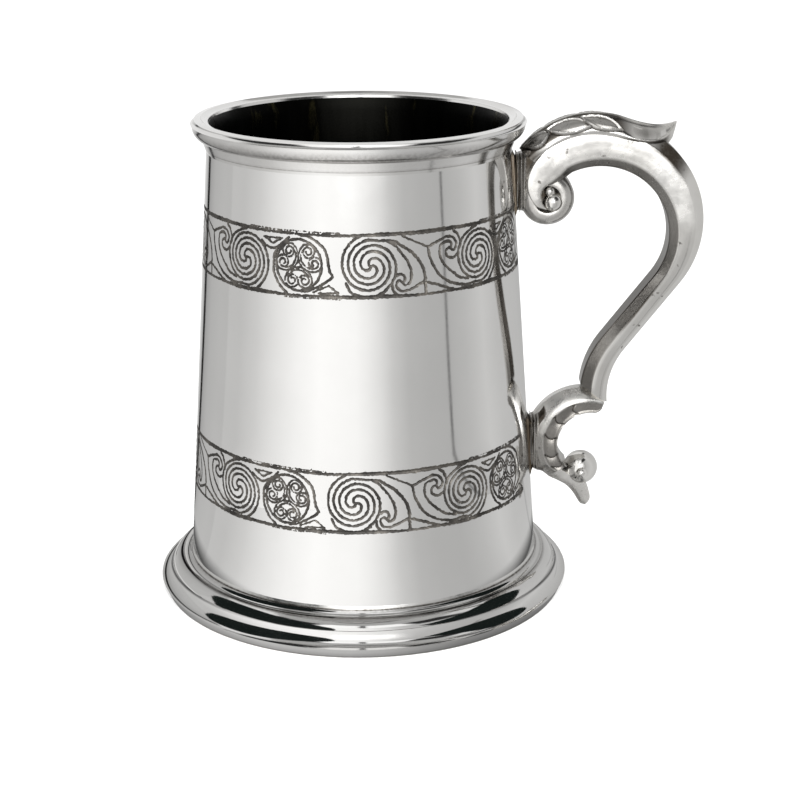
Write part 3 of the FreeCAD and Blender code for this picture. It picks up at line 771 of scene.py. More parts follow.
def make_saddle(end, middle):
    """One of the two pads between the drum and the handle, with three upright reeds and a beaded top."""
    tall, wide, gauge = 14.4, 7.2, 0.95
    low, high = middle - tall / 2, middle + tall / 2
    columns, rows = 49, 48
    reach = wide / drum_radius(middle) / 2
    turn = np.linspace(-1, 1, columns)
    rings = []
    for share in np.linspace(0, 1, rows):
        z = lerp(low, high, share)
        inner = drum_radius(z) + FILM
        reed = 0.5 + 0.5 * np.cos(turn * 3 * math.pi)
        ends = smooth(0, 0.06, share) * smooth(0, 0.06, 1 - share) * smooth(0, 0.08, 1 - np.abs(turn))
        bead = smooth(0.86, 0.9, share) * (0.5 + 0.5 * np.cos(turn * 5 * math.pi))
        depth = gauge * (0.35 + 0.35 * reed * (1 - smooth(0.84, 0.88, share)) + 0.3 * bead)
        depth = lerp(0.25 * gauge, depth, ends)
        front = [(inner + d, t * reach) for d, t in zip(depth, turn)]
        loop = front + [(inner, t * reach) for t in turn[::-1]]
        rings.append(np.array([(r * math.cos(a), r * math.sin(a), z) for r, a in loop]))
    saddle = new_piece(
        f"{end}_saddle_reeded", *join_rings(rings), "cast_metal", [PATINA], (f"{end}_saddle",),
    )
    sharpen(saddle, 60)
    return saddle


# ---------------------------------------------------------------- the handle

# Its outlines lie in the plane y = 0, as points (x, z). Each part is a closed shell of its own.
ARCH, ARCH_RADIUS = np.array((60.4, 95.2)), 25.27
HOLLOW_ARCH, HOLLOW_ARCH_RADIUS = np.array((59.7, 92.1)), 17.5
WAIST, WAIST_RADIUS = np.array((82.6, 50.4)), 19.6
HOLLOW_WAIST, HOLLOW_WAIST_RADIUS = np.array((80.6, 50.4)), 24.55
TANGENT = -37.5             # direction of the straight stretch's normal, in degrees
UNDER_LEAF = 73             # the ring of the grip where the leaf's tip shades it
CREST, CREST_RADIUS = np.array((58.0, 99.25)), 22.97
VOLUTE = (46.66, 101.5)
SCROLL, SCROLL_RADIUS = np.array((57.2, 37.2)), 14.65
HOLLOW_SCROLL, HOLLOW_SCROLL_RADIUS = np.array((59.0, 37.3)), 8.53


class Casting:
    """The shells of one casting. Each point has a share from 0 to 1 of the dark patina colour, which also
    paints shade, and of shine.
    """

    def __init__(self):
        self.points, self.faces, self.hollows, self.shines = [], [], [], []
        self.count = 0

    def add(self, shell, hollow=0.0, shine=0.0):
        points, faces = shell
        self.points.append(points)
        self.faces += [[i + self.count for i in face] for face in faces]
        self.hollows.append(np.broadcast_to(hollow, len(points)).astype(float))
        self.shines.append(np.broadcast_to(shine, len(points)).astype(float))
        self.count += len(points)

    def add_rings(self, rings, hollows=0.0, shines=0.0):
        """Add a skin over rings. The patina-and-shade marks have a value for each point, and shines has one
        for each ring.
        """
        per_ring = len(rings[0])
        self.add(
            join_rings(rings),
            np.ravel(hollows) if np.size(hollows) > 1 else hollows,
            np.repeat(shines, per_ring) if np.size(shines) > 1 else shines,
        )

    def make(self, name, slot, material, replaced):
        piece = new_piece(name, np.vstack(self.points), self.faces, slot, [material], replaced)
        for label, values in (("hollow", self.hollows), ("shine", self.shines)):
            marks = piece.data.attributes.new(label, "FLOAT", "POINT")
            marks.data.foreach_set("value", np.concatenate(values).astype(np.float32))
        return piece


def on_circle(centre, radius, degrees):
    """Points on a circle at these angles, counted from +X towards +Z."""
    angle = np.radians(degrees)
    return np.stack([centre[0] + radius * np.cos(angle), centre[1] + radius * np.sin(angle)], -1)


def resampled(line, shares):
    """Points at these shares of a line's length."""
    steps = np.hypot(*np.diff(line, axis=0).T)
    along = np.concatenate([[0], np.cumsum(steps)]) / steps.sum()
    return np.stack([np.interp(shares, along, line[:, i]) for i in range(2)], 1)


def softened(corners, cut, steps, fill=0):
    """A closed section with each corner turned into a short curve, and fill points on each straight."""
    corners = np.array(corners, float)
    loop = []
    for before, corner, after in zip(np.roll(corners, 1, 0), corners, np.roll(corners, -1, 0)):
        back, ahead = before - corner, after - corner
        start = corner + back * min(0.45, cut / max(np.hypot(*back), 1e-6))
        end = corner + ahead * min(0.45, cut / max(np.hypot(*ahead), 1e-6))
        for share in np.linspace(0, 1, steps):
            loop.append(lerp(lerp(start, corner, share), lerp(corner, end, share), share))
    loop = np.array(loop)
    if not fill:
        return loop
    filled = []
    for index, (point, ahead) in enumerate(zip(loop, np.roll(loop, -1, 0))):
        filled.append(point)
        if index % steps == steps - 1:
            filled += [lerp(point, ahead, share) for share in np.linspace(0, 1, fill + 2)[1:-1]]
    return np.array(filled)


def ring_at(inner, outer, section):
    """A section placed between an inner and an outer point. Its points are (share outwards, y)."""
    flat = inner + section[:, :1] * (outer - inner)
    return np.column_stack([flat[:, 0], section[:, 1], flat[:, 1]])


def grip_lines():
    """The outlines of the grip, from its curled tip over the arch and down to the knuckle."""
    outer_curl = [(46.3, 98.9), (44.0, 99.6), (42.2, 101.7), (41.2, 104.6), (41.2, 107.6),
                  (42.3, 111.0), (44.6, 114.6)]
    inner_curl = [(46.4, 99.3), (45.5, 100.4), (45.1, 101.8), (45.3, 103.6), (46.4, 104.9),
                  (48.4, 105.5), (50.7, 106.7)]
    outer_arch = on_circle(ARCH, ARCH_RADIUS, np.linspace(124, TANGENT, 60))
    inner_arch = on_circle(HOLLOW_ARCH, HOLLOW_ARCH_RADIUS, np.linspace(114, TANGENT, 60))
    outer_waist = on_circle(WAIST, WAIST_RADIUS, np.linspace(180 + TANGENT, 186.5, 30))
    inner_waist = on_circle(HOLLOW_WAIST, HOLLOW_WAIST_RADIUS, np.linspace(180 + TANGENT, 174, 30))
    spacing = 0.4
    outer, inner = [through(line, spacing) for line in (outer_curl, inner_curl)]
    straight = np.linspace(0, 1, 32)[1:-1, None]
    parts = []
    for curl, arch, waist in ((outer, outer_arch, outer_waist), (inner, inner_arch, inner_waist)):
        parts.append((
            resampled(np.vstack([curl, arch[:1]]), np.linspace(0, 1, 46)[:-1]),
            arch, lerp(arch[-1], waist[0], straight), waist,
        ))
    return np.vstack(parts[0]), np.vstack(parts[1])


def add_grip(casting):
    """The grip: a flat-sided bar with bevelled edges that narrows from the arch to the waist."""
    outer, inner = grip_lines()
    count = len(outer)
    curl, arch = 45, 105
    along = np.arange(count)
    half = np.interp(along, [0, 10, curl, arch, count - 1], [4.75, 5.2, 5.3, 5.2, 4.5])
    inner_cut = np.interp(along, [0, 20, curl, curl + 30, arch, count - 30, count - 1],
                          [0.12, 0.10, 0.20, 0.22, 0.32, 0.40, 0.40])
    outer_cut = np.interp(along, [0, 20, curl, curl + 30, arch, count - 30, count - 1],
                          [0.12, 0.10, 0.16, 0.25, 0.24, 0.20, 0.18])
    inner_face = np.interp(along, [0, 20, curl, count - 1], [0.9, 0.9, 0.62, 0.58])
    rings, hollows = [], []
    for i in range(count):
        b, p, q, face = half[i], inner_cut[i], outer_cut[i], inner_face[i]
        swell = 0.14
        side = [
            (0, face * b), (p, b - swell), (p + 0.3 * (1 - p - q), b),
            (p + 0.7 * (1 - p - q), b), (1 - q, b - swell), (1, 0.56 * b),
        ]
        section = softened(side + [(n, -y) for n, y in side[::-1]], 0.05, 3, 7)
        section[:, 0] = np.clip(section[:, 0], 0, 1)
        rings.append(ring_at(inner[i], outer[i], section))
        out = section[:, 0]
        low = smooth(curl + 40, arch + 10, i)
        # Painted shade: the inner bevel, which faces the drum, is darkened.
        bevel = 1 - smooth(p - 0.04, p + 0.04, out)
        marks = bevel * lerp(0.62, 0.74, low) + 0.2 * (1 - smooth(0, 0.05, out))
        seam = bell(out, p * 0.98, 0.035) * low * (1 - smooth(count - 45, count - 25, i))
        at_curl = (1 - smooth(curl - 2, curl + 10, i)) * smooth(curl - 25, curl - 12, i)
        root = at_curl * smooth(1 - q, 1, out)
        # Painted shadow on the grip's back where the leaf's tip shades it.
        leaf_shadow = smooth(0.9 - q, 1.0 - q, out) * math.exp(-((i - UNDER_LEAF) / 5) ** 4)
        warm = np.full_like(out, 0.16 * (1 - smooth(curl, curl + 25, i)))
        hollows.append(np.clip(np.maximum.reduce([marks, seam, root, leaf_shadow, warm]), 0, 1))
    casting.add_rings(rings, hollows, smooth(curl + 35, arch, along))


# the leaf's half width, and its depths to the edge and to the underside: pairs of (x, value)
LEAF_HALF = [
    (39, 4.2), (44, 5.3), (62, 5.75), (68, 5.8), (71, 5.6), (74, 4.6), (76.5, 2.7), (77.7, 1.3), (78.3, 0.25),
]
LEAF_EDGE = [
    (39, 3.4), (44, 3.7), (60, 3.5), (64, 3.6), (67, 3.5), (70, 3.4), (73, 3.1), (75.5, 2.5), (77.2, 1.3),
    (78.3, 0.2),
]
LEAF_UNDER = [
    (39, 6.5), (62, 6.0), (66, 5.2), (70, 4.8), (73, 4.8), (76.3, 4.7), (77.3, 3.6), (78.0, 1.5), (78.3, 0.4),
]
BLADE_TOP = [(66.8, 120.5), (69.5, 119.8), (73.0, 119.35), (76.0, 119.65), (78.3, 120.25)]
BLADE_FIRST = 64            # the x at which the scaled part ends


def leaf_stations():
    """Along the leaf's crest: points, lean from upright, half widths, and the two depths."""
    scaled = np.linspace(-52, 15, 150)
    crest = on_circle(CREST, CREST_RADIUS, 90 - scaled)
    blade = through([crest[-1], *BLADE_TOP], 0.2)[1:]
    lean = np.concatenate([scaled, np.interp(blade[:, 0], [64, 70], [15, 0])])
    crest = np.vstack([crest, blade])
    widths = [np.interp(crest[:, 0], *zip(*table)) for table in (LEAF_HALF, LEAF_EDGE, LEAF_UNDER)]
    return crest, np.radians(lean), *widths


# the scales on the leaf: left tip, right tip, swell towards the crest and towards the edge. Each tip
# is (distance along the leaf from its top, distance up from its edge)
SCALES = [
    ((-22.0, 4.4), (-17.6, 2.4), 1.0, 1.6),
    ((-18.8, 5.3), (-10.7, 3.9), 1.2, 3.2),
    ((-12.0, 4.7), (-0.6, 1.5), 2.3, 2.7),
    ((-3.6, 5.0), (6.6, 1.7), 1.7, 2.9),
]
SCALE_RADIUS = 21


def scale_relief(along, up):
    """How far the scales raise the leaf, and how much dark patina colour the grooves round the scales take.
    """
    relief, hollow = np.zeros_like(along), np.zeros_like(along)
    for (left, low), (right, high), over, below in SCALES:
        length = math.hypot(right - left, high - low)
        cos, sin = (right - left) / length, (high - low) / length
        share = ((along - left) * cos + (up - low) * sin) / length
        off = (up - low) * cos - (along - left) * sin
        bow = 4 * share * (1 - share)
        inside = np.where((share > 0) & (share < 1), np.minimum(over * bow - off, off + below * bow), -9)
        rim = bell(inside, 0.32, 0.2)
        covered = smooth(-0.05, 0.15, inside)
        body = 0.10 + 0.42 * rim + 0.10 * smooth(0.5, 1.6, inside)
        relief = lerp(relief, body, covered)
        groove = bell(inside, -0.12, 0.22)
        hollow = np.maximum(hollow * (1 - covered), groove)
        relief = relief - 0.22 * groove
    return relief, hollow


def leaf_fall(drop, blade, swing):
    """How far below its crest the leaf's top lies, from the crest out to the edge."""
    fall_round = 1 - np.cos(swing)
    fall_blade = np.sin(swing) ** 1.5
    return drop * lerp(fall_round, lerp(fall_round, fall_blade, 0.7), blade)


def leaf_relief(x, tilt, b, drop, blade, fan, y):
    """How far the ornament raises the leaf's top, and how much dark patina colour each point takes in the
    grooves and trenches.
    """
    size = math.pi / 2 * math.sqrt((b * b + drop * drop) / 2)
    up = size * (1 - np.abs(fan))
    along = tilt * SCALE_RADIUS if x < BLADE_FIRST else 5.5 + (x - BLADE_FIRST)
    relief, hollow = scale_relief(np.full_like(up, along), up)
    rib = np.exp(-(y / 0.75) ** 4)
    trench = bell(y, 1.25, 0.4)
    fade = 1 - smooth(66, 76, x)
    relief = relief + (0.30 * rib - 0.15 * trench) * fade
    hollow = np.maximum(hollow, 0.8 * trench * fade)
    rim = bell(np.abs(fan), 1, 0.11) * smooth(65, 70, x) * min(1.0, b / 2)
    dish = blade * bell(np.abs(fan), 0.62, 0.2) * min(1.0, b / 3)
    return relief + 0.32 * rim - 0.25 * dish, hollow


def leaf_marks(x, blade, fan, relief, hollow):
    """The leaf top's share of the dark patina colour: the grooves, the ground between the scales and the
    root, and painted shade in the blade's dished trough.
    """
    body = 0.95 * np.clip(1 - relief / 0.4, 0, 1) * (1 - blade) * smooth(0.05, 0.2, 1 - np.abs(fan))
    trough = 0.6 * blade * bell(np.abs(fan), 0.5, 0.3) * (1 - smooth(70, 76, x))
    root = np.full_like(body, 0.9 * (1 - smooth(40.5, 44.5, x)))
    return np.maximum.reduce([hollow, body, trough, root])


def leaf_belly(b, drop, deep):
    """The leaf's underside from edge to edge, as pairs of a place across and a height from the crest."""
    half = []
    for share in (0.96, 0.80, 0.60, 0.30):
        low = lerp(-drop, -deep, (1 - share) ** 0.6 / 0.4 ** 0.6) if share > 0.6 else -deep
        half.append((b * share, low))
    return half + [(-across, low) for across, low in half[::-1]]


def add_leaf(casting):
    """The leaf on top of the arch: scales, a raised rib, and a smooth blade with an upturned tip."""
    fan = np.linspace(-1, 1, 91)
    swing = np.abs(fan) * math.pi / 2
    rings, hollows = [], []
    for (x, z), tilt, b, drop, deep in zip(*leaf_stations()):
        blade = float(smooth(63.5, 70, x))
        y = b * np.sin(swing)
        relief, hollow = leaf_relief(x, tilt, b, drop, blade, fan, y)
        height = relief * np.minimum(1, 2.5 * np.cos(swing) + 0.35) - leaf_fall(drop, blade, swing)
        side = np.sign(fan) * (y + 0.6 * relief * np.sin(swing))
        belly = leaf_belly(b, drop, deep)
        across = np.concatenate([side, [w for w, _ in belly]])
        above = np.concatenate([height, [h for _, h in belly]])
        rings.append(np.column_stack([x + above * math.sin(tilt), across, z + above * math.cos(tilt)]))
        # Painted shade on the underside of the blade.
        underside_shade = 0.95 * smooth(64, 68, x) * (1 - smooth(75, 77, x))
        marks = leaf_marks(x, blade, fan, relief, hollow)
        hollows.append(np.concatenate([marks, np.full(len(belly), underside_shade)]))
    casting.add_rings(rings, hollows)


def add_volute(casting):
    """The disc that the grip's tip curls over, with a rim, and two pearls in its dished face."""
    profile = [(0.02, 2.7), (2.6, 2.7), (3.0, 3.1), (3.25, 3.9)]
    profile += arc((3.45, 4.35), (6.74, 2.3), 2.9, 1, 14)
    both = profile + [(r, -y) for r, y in profile[::-1]]
    segments = 96
    angles = np.arange(segments) * TURN / segments
    rings = [
        np.stack([VOLUTE[0] + r * np.cos(angles), np.full(segments, -y), VOLUTE[1] + r * np.sin(angles)], 1)
        for r, y in both
    ]
    # Painted shade: the dished face is darker than the rim, and both darken on the side turned from the
    # light.
    lit = 0.5 + 0.5 * np.cos(angles + math.radians(50))
    hollows = [lerp(1.0, 0.55, lit) if r < 3.4 else lerp(0.55, 0.2, lit) for r, _ in both]
    casting.add_rings(rings, hollows)
    for side in (-1, 1):
        casting.add(ball((47.2, side * 3.6, 103.4), 1.4), 0.1, 0.7)
        casting.add(ball((48.1, side * 3.0, 100.7), 2.6), 0.0, 0.7)


def ball(centre, radius, rows=20, columns=32):
    """A round boss."""
    angles = np.arange(columns) * TURN / columns
    return join_rings([
        np.stack([
            centre[0] + radius * np.cos(tilt) * np.cos(angles),
            centre[1] + radius * np.cos(tilt) * np.sin(angles),
            np.full(columns, centre[2] + radius * math.sin(tilt)),
        ], 1)
        for tilt in np.linspace(-math.pi / 2, math.pi / 2, rows)[1:-1]
    ])


def add_neck(casting, stations, reeds, height_marks):
    """A reeded block between a saddle and the handle. stations are (x, low, high, half width)."""
    stations = np.array(stations)
    xs = np.linspace(stations[0, 0], stations[-1, 0], 60)
    low, high, half = [np.interp(xs, stations[:, 0], stations[:, i]) for i in (1, 2, 3)]
    rings, hollows = [], []
    levels = np.linspace(0, 1, 24)
    tuck = 1 - 0.5 * (smooth(0.9, 1, levels) + smooth(0.9, 1, 1 - levels)) ** 2
    for x, bottom, top, b in zip(xs, low, high, half):
        reed = sum(bell(x, at, 0.24) for at in reeds)
        b = b - 0.35 + 0.5 * reed
        z = lerp(bottom, top, levels)
        right = np.column_stack([np.full_like(z, x), b * tuck, z])
        left = np.column_stack([np.full_like(z, x), -b * tuck, z])[::-1]
        rings.append(np.vstack([right, left]))
        dark = np.interp(levels, *zip(*height_marks)) * (1 - 0.55 * min(1.0, reed))
        hollows.append(np.concatenate([dark, dark[::-1]]))
    casting.add_rings(rings, hollows)


SCROLL_FLAT = 0.50          # the share of the scroll's depth that its flat side face takes
SCROLL_HALF = 4.5
SCROLL_NOTCHES = (100, 131, 160, 190, 209)


def scroll_cuts(angle, across):
    """The scales in the scroll's side face: how deep the cuts are, and how dark."""
    curved = angle - 9 * np.sin(math.pi * np.clip(across / SCROLL_FLAT, 0, 1))
    cut, shade = np.zeros_like(across), np.zeros_like(across)
    for notch in SCROLL_NOTCHES:
        past = curved - notch
        cut += np.where(past > 0, np.exp(-past / 7), np.exp(past / 0.8)) * 0.38
        shade = np.maximum(shade, bell(past, 0.3, 1.6))
    return cut, shade


def scroll_sides(angles):
    """The scroll's inner and outer lines, which start at the neck's corner and thin out at the end."""
    outer = on_circle(SCROLL, SCROLL_RADIUS, angles)
    inner = on_circle(HOLLOW_SCROLL, HOLLOW_SCROLL_RADIUS, np.linspace(74, 226, len(angles)))
    corner = smooth(62, 72, angles)[:, None]
    outer = lerp(np.array((62.6, 49.6)), outer, corner)
    inner = lerp(np.array((61.7, 47.0)), inner, corner)
    thin = smooth(205, 222, angles)[:, None]
    return inner, lerp(outer, inner + (outer - inner) * 0.8, thin)


def add_scroll(casting):
    """The lower scroll: a round back, and a flat side face cut into overlapping scales."""
    angles = np.linspace(62, 222, 170)
    inner, outer = scroll_sides(angles)
    flat = SCROLL_FLAT
    across = np.concatenate([np.linspace(0, flat, 22), flat + (1 - flat) * np.linspace(0.06, 1, 18)])
    round_share = np.clip((across - flat) / (1 - flat), 0, 1)
    plain = SCROLL_HALF * (1 - 0.72 * (1 - np.cos(round_share * math.pi / 2)) ** 0.85)
    face = smooth(0.0, 0.05, across) * (1 - smooth(flat - 0.08, flat, across))
    rim = 0.22 * bell(across, 0.05, 0.035) + 0.18 * bell(across, flat, 0.03)
    rings, hollows = [], []
    for low, high, angle in zip(inner, outer, angles):
        cut, shade = scroll_cuts(angle, across)
        half = plain - cut * face + rim - 0.10 * face
        section = np.vstack([
            np.column_stack([across, half]), np.column_stack([across[::-1], -half[::-1]]),
        ])
        rings.append(ring_at(low, high, section))
        # The side face is darkened all over and most at the notches. The round back darkens past 150 degrees,
        # painted shade where it turns towards the drum.
        dark = np.maximum(shade * face, 0.74 * face) + 0.35 * smooth(150, 175, angle) * (1 - face)
        hollows.append(np.concatenate([dark, dark[::-1]]))
    casting.add_rings(rings, hollows)


def add_tail(casting):
    """The ball at the scroll's end with its pearls, and the lobe that hangs below it."""
    casting.add(ball((57.0, 0, 29.5), 4.4, 36, 56), 0.0, 1.0)
    for side in (-1, 1):
        casting.add(ball((57.0, side * 4.3, 29.3), 1.5), 0.0, 0.8)
    upper = through([(49.5, 31.5), (51.8, 30.0), (54.0, 28.4), (56.4, 27.2), (58.3, 25.4), (59.4, 22.8),
                     (59.5, 21.0), (58.9, 19.9)], 0.3)
    lower = through([(46.2, 30.2), (48.4, 27.6), (51.0, 26.2), (53.4, 24.7), (55.2, 22.6), (56.4, 20.6),
                     (57.2, 19.5), (58.2, 19.3)], 0.3)
    shares = np.linspace(0, 1, 70)
    upper, lower = resampled(upper, shares), resampled(lower, shares)
    half = np.interp(shares, [0, 0.3, 0.6, 0.9, 1], [4.0, 3.0, 2.5, 2.2, 1.6])
    rings = []
    for low, high, b in zip(lower, upper, half):
        side = [(0, 0.45 * b), (0.24, b - 0.05), (0.5, b), (0.93, b - 0.05), (1, 0.8 * b)]
        rings.append(ring_at(low, high, softened(side + [(n, -y) for n, y in side[::-1]], 0.06, 3)))
    casting.add_rings(rings, 0.0)


def make_handle():
    """The handle in one casting."""
    casting = Casting()
    add_grip(casting)
    add_leaf(casting)
    add_volute(casting)
    add_neck(
        casting,
        [
            (38.7, 98.4, 112.2, 3.3), (40.0, 98.3, 112.6, 3.6),
            (41.5, 98.0, 113.6, 4.1), (44.0, 97.6, 115.0, 4.6),
        ],
        (39.2, 40.05, 40.9), [(0, 0.7), (0.5, 0.85), (0.8, 1.0), (1, 1.0)],
    )
    add_neck(
        casting,
        [
            (43.2, 30.4, 43.6, 3.3), (44.4, 29.9, 44.2, 3.6),
            (45.6, 29.3, 45.2, 3.9), (47.0, 29.0, 47.0, 4.1),
        ],
        (43.7, 44.55, 45.3), [(0, 0.8), (0.4, 0.55), (0.75, 0.7), (0.85, 1.0), (1, 1.0)],
    )
    add_scroll(casting)
    add_tail(casting)
    handle = casting.make("handle_cast", "cast_metal", CAST, ("handle",))
    sharpen(handle, 34)
    weighted = handle.modifiers.new("even_shading", "WEIGHTED_NORMAL")
    weighted.keep_sharp = True


# ---------------------------------------------------------------- floor, light and camera

TENT_RADIUS = 120
ROOF_COLOUR = (0.36, 0.36, 0.355)
TENT_HIGH = 420
MIRROR_RADIUS = 43          # the drum's radius at the middle, which bends what the tent shows
PEWTER_SHINE = 0.755        # how much of the light the drum gives back


def linear(tone):
    """Light for a tone from 0 to 255 as a screen shows it."""
    share = tone / 255
    return share / 12.92 if share <= 0.04045 else ((share + 0.055) / 1.055) ** 2.4


def tent_place(mirrored):
    """Where the drum mirrors the tent at an angle from the front, as a share of a turn from -X."""
    drift = math.degrees(math.asin(
        MIRROR_RADIUS * math.sin(math.radians(abs(mirrored)) / 2) / TENT_RADIUS
    ))
    angle = mirrored - math.copysign(drift, mirrored)
    return (angle + 90) % 360 / 360


# what the drum mirrors, from its left edge to its right edge: angle from the front, and tone
MIRRORED = [
    (-172, 214), (-158, 182), (-152, 160), (-151, 8), (-146.5, 8), (-145, 152), (-133, 172),
    (-117, 180), (-92, 188), (-76, 202), (-60, 224), (-43, 242), (-27, 252), (-2, 246), (6, 236),
    (15, 220), (23, 198), (34, 180), (48, 174), (64, 172), (80, 181), (97, 196), (113, 186), (137, 181),
    (150, 176), (165, 166),
]
# fine dark lines in the mirror image: one down to the lower band, and one below it
HIGH_LINE = [(63.1, 1.0), (63.9, 0.28), (64.5, 0.28), (65.3, 1.0)]
LOW_LINE = [(131.6, 1.0), (132.4, 0.6), (133.0, 0.6), (133.8, 1.0)]
LINE_HEIGHTS = (12, 20)     # the low line changes to the high line between these heights
RIM_HEIGHTS = (122, 132)    # the sides change to the openings above the rim
ROOF_HEIGHTS = (230, 250)   # the openings change to the plain roof
# how bright the hem is, from the foot outwards: radius, and share. It is dimmer close to the foot, a painted
# contact shadow.
HEM_GLOW = [(52.4, 0.30), (53.4, 0.52), (56, 0.62), (58.5, 0.42), (60.5, 0.12), (63, 0.35), (69, 1.0)]
# the dark undersides that the foot's round edge mirrors: first and last angle from the front, how
# far in and out each reaches, and where along it that is (1 for the middle, less for the first end)
CARDS = [(-76, -10, 49, 116, 0.66), (24, 82, 50, 112, 2.0)]
CARD_HIGH = 30
# the tent above the rim's height: angle from the front, and light
OVERHEAD = [
    (-90, 0.75), (-82, 0.03), (-36, 0.02), (-28, 1.0), (-3, 1.0), (-2, 0.1), (2, 0.1), (3, 1.0), (30, 0.9),
    (36, 0.02), (70, 0.03), (80, 0.6), (120, 0.5), (124, 0.05), (134, 0.05), (138, 0.7),
]


def make_floor():
    """A plain pale floor, much wider than the view."""
    reach = 4000
    corners = [(-reach, -reach, 0), (reach, -reach, 0), (reach, reach, 0), (-reach, reach, 0)]
    material, tree, shader, place = new_material("pale_floor")
    shades = [(USUAL_NOISE[0], (0.86, 0.86, 0.855)), (USUAL_NOISE[1], (0.89, 0.89, 0.885))]
    tree.links.new(ramp(tree, noise(tree, place, 3, 2), shades), shader.inputs["Base Color"])
    shader.inputs["Roughness"].default_value = 0.7
    floor = new_object("floor", corners, [(0, 1, 2, 3)], [material])


def eased(tree, height, limits):
    """A number that runs from 0 to 1 between two heights, eased at both ends."""
    low, high = limits
    return rescale(tree, height, low * MM, high * MM, interpolation_type="SMOOTHSTEP")


def new_glow(name):
    """A material that only glows, with its node tree and its light."""
    material = bpy.data.materials.new(name)
    material.use_nodes = True
    tree = material.node_tree
    tree.nodes.clear()
    light = add_node(tree, "ShaderNodeEmission")
    output = add_node(tree, "ShaderNodeOutputMaterial")
    tree.links.new(light.outputs[0], output.inputs["Surface"])
    return material, tree, light


def hem_share(tree, place):
    """The share of light that is left by the distance from the axis."""
    flat = add_node(
        tree, "ShaderNodeVectorMath", {0: place, 1: (1, 1, 0)}, operation="MULTIPLY",
    ).outputs[0]
    radius = add_node(tree, "ShaderNodeVectorMath", {0: flat}, operation="LENGTH").outputs["Value"]
    inmost, outmost = HEM_GLOW[0][0], HEM_GLOW[-1][0]
    outwards = rescale(tree, radius, inmost * MM, outmost * MM)
    return ramp(tree, outwards, greys([((r - inmost) / (outmost - inmost), light) for r, light in HEM_GLOW]))


def tent_glow(name, hemmed):
    """The tent's light: a tone for each side, dark openings above the rim, and perhaps a hem."""
    material, tree, light = new_glow(name)
    place = add_node(tree, "ShaderNodeTexCoord").outputs["Object"]
    share = add_node(
        tree, "ShaderNodeTexGradient", {"Vector": place}, gradient_type="RADIAL",
    ).outputs["Fac"]
    stops = sorted((tent_place(angle), linear(tone)) for angle, tone in MIRRORED)
    sides = ramp(tree, share, [(at, (value, value * 0.998, value * 0.992)) for at, value in stops])
    openings = ramp(tree, share, greys([((angle + 90) % 360 / 360, glow) for angle, glow in OVERHEAD]))
    high_line, low_line = [
        ramp(tree, share, greys([(tent_place(angle), glow) for angle, glow in line]))
        for line in (HIGH_LINE, LOW_LINE)
    ]
    height = height_of(tree, place)
    line = blend(tree, eased(tree, height, LINE_HEIGHTS), low_line, high_line)
    upper = blend(tree, eased(tree, height, ROOF_HEIGHTS), openings, ROOF_COLOUR)
    colour = blend(tree, eased(tree, height, RIM_HEIGHTS), sides, upper)
    hem = hem_share(tree, place) if hemmed else 1.0
    tree.links.new(colour, light.inputs["Color"])
    tree.links.new(product(tree, hem, line, 1 / PEWTER_SHINE), light.inputs["Strength"])
    return material


def add_mirrored(name, points, faces, material):
    """A surface that only the metal's mirror images show."""
    surface = new_object(name, points, faces, [material])
    surface.visible_camera = False
    surface.visible_shadow = False
    surface.visible_diffuse = False


def make_cards():
    """Level cards beside the foot, dark underneath. Their tops glow like the tent."""
    glow = tent_glow("card_glow", False)
    dark, _, light = new_glow("card_dark")
    light.inputs["Color"].default_value = (0.010, 0.014, 0.013, 1.0)
    steps = 40
    for index, (first, last, inside, outside, lean) in enumerate(CARDS):
        shares = np.linspace(0, 1, steps)
        angles = np.radians(lerp(first, last, shares) - 90)
        spread = np.sin(math.pi * shares ** lean) ** 0.6
        middle = lerp(inside, outside, 0.3)
        edges = [lerp(middle, reach, spread) for reach in (inside, outside)]
        faces = [(i, i + 1, i + 1 + steps, i + steps) for i in range(steps - 1)]
        for side, z, material in (("top", CARD_HIGH + 0.02, glow), ("under", CARD_HIGH, dark)):
            points = np.vstack([
                np.stack([r * np.cos(angles), r * np.sin(angles), np.full(steps, z)], 1) for r in edges
            ])
            add_mirrored(f"card_{index}_{side}", points, faces, material)


def make_tent():
    """A glowing cloth tent round the tankard, unseen itself, which the metal mirrors."""
    segments = 240
    angles = np.arange(segments) * TURN / segments
    hem = arc((HEM_GLOW[0][0], 0.1), (TENT_RADIUS, TENT_RADIUS / 2), 66, -1, 20)
    rings = [
        np.stack([r * np.cos(angles), r * np.sin(angles), np.full(segments, z)], 1)
        for r, z in hem + [(TENT_RADIUS, TENT_HIGH), (1, TENT_HIGH + 1)]
    ]
    points, faces = join_rings(rings)
    add_mirrored("tent", points, faces[:-2], tent_glow("tent_glow", True))
    make_cards()


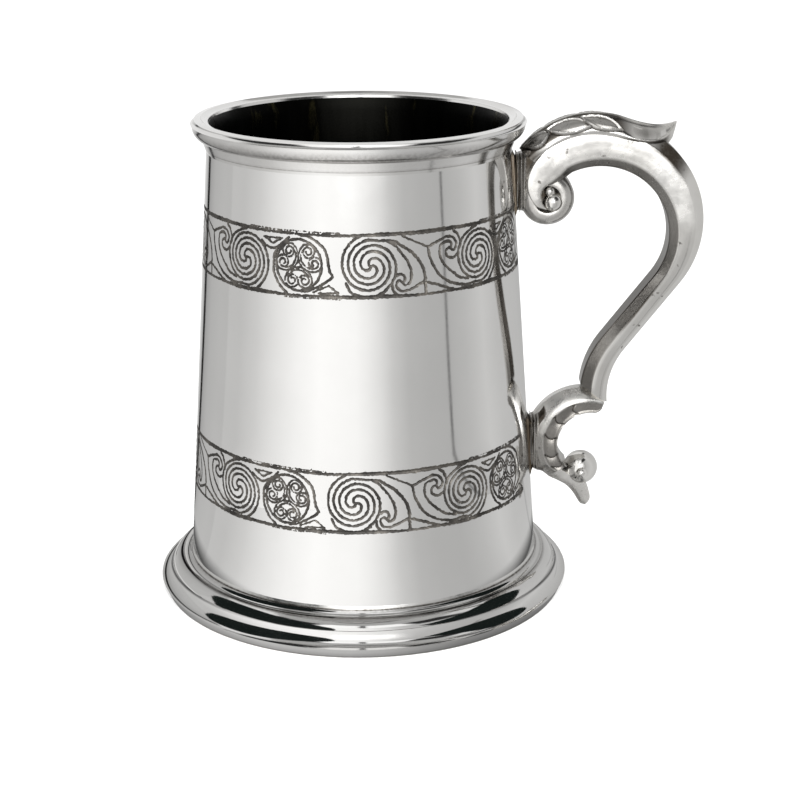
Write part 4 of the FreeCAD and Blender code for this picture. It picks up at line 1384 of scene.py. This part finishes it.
def make_light(name, place, aim, size, power):
    """A square soft light at a place, turned towards a point. Lengths are in millimetres."""
    data = bpy.data.lights.new(name, "AREA")
    data.size = size * MM
    data.energy = power
    light = bpy.data.objects.new(name, data)
    light.location = Vector(place) * MM
    light.rotation_euler = (Vector(aim) - Vector(place)).to_track_quat("-Z", "Y").to_euler()
    bpy.context.scene.collection.objects.link(light)


def make_world():
    """Plain white light from all round."""
    world = bpy.data.worlds.new("studio")
    world.use_nodes = True
    background = world.node_tree.nodes["Background"]
    background.inputs["Color"].default_value = (1.0, 1.0, 1.0, 1.0)
    background.inputs["Strength"].default_value = 1.2
    bpy.context.scene.world = world


CAMERA_LENS = 81.025
CAMERA_PLACE = (13.357, -443.162, 194.271)
CAMERA_TURN = (71.728, 0.263, 0.371)    # degrees about X, Y and Z


def make_camera():
    """The camera stands in front, a little above the rim, and looks down at the drum."""
    data = bpy.data.cameras.new("camera")
    data.lens = CAMERA_LENS
    data.sensor_width = 36
    camera = bpy.data.objects.new("camera", data)
    camera.location = Vector(CAMERA_PLACE) * MM
    camera.rotation_euler = [math.radians(turn) for turn in CAMERA_TURN]
    bpy.context.scene.collection.objects.link(camera)
    bpy.context.scene.camera = camera


def finish_solder():
    """Give the solder that stays as designed its look. The lip's has a turned piece in its place."""
    for name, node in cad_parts.items():
        if name.endswith("_solder") and name != "lip_solder":
            node.data.materials.clear()
            node.data.materials.append(FOOT_SEAM if name == "foot_solder" else SOLDER)


# ---------------------------------------------------------------- everything together

LOWER_FIRST = (-7.4, 0.0)
UPPER_FIRST = (-1.2, 4.1)

make_wall()
make_band("band_lower", 0, LOWER_FIRST, np.random.default_rng(11))
make_band("band_upper", UPPER_LIFT, UPPER_FIRST, np.random.default_rng(12))
make_lip_ring()
make_lip_seam()
make_foot_ring()
make_bottom()
make_saddle("upper", 105.3)
make_saddle("lower", 36.6)
make_handle()
finish_solder()

make_floor()
make_tent()
make_world()
make_camera()
make_light("key", (40, -620, 300), (40, 0, 80), 380, 7.5)
make_light("fill", (-60, 40, 700), (20, 0, 60), 300, 1.0)
bpy.context.scene.view_settings.view_transform = "Standard"
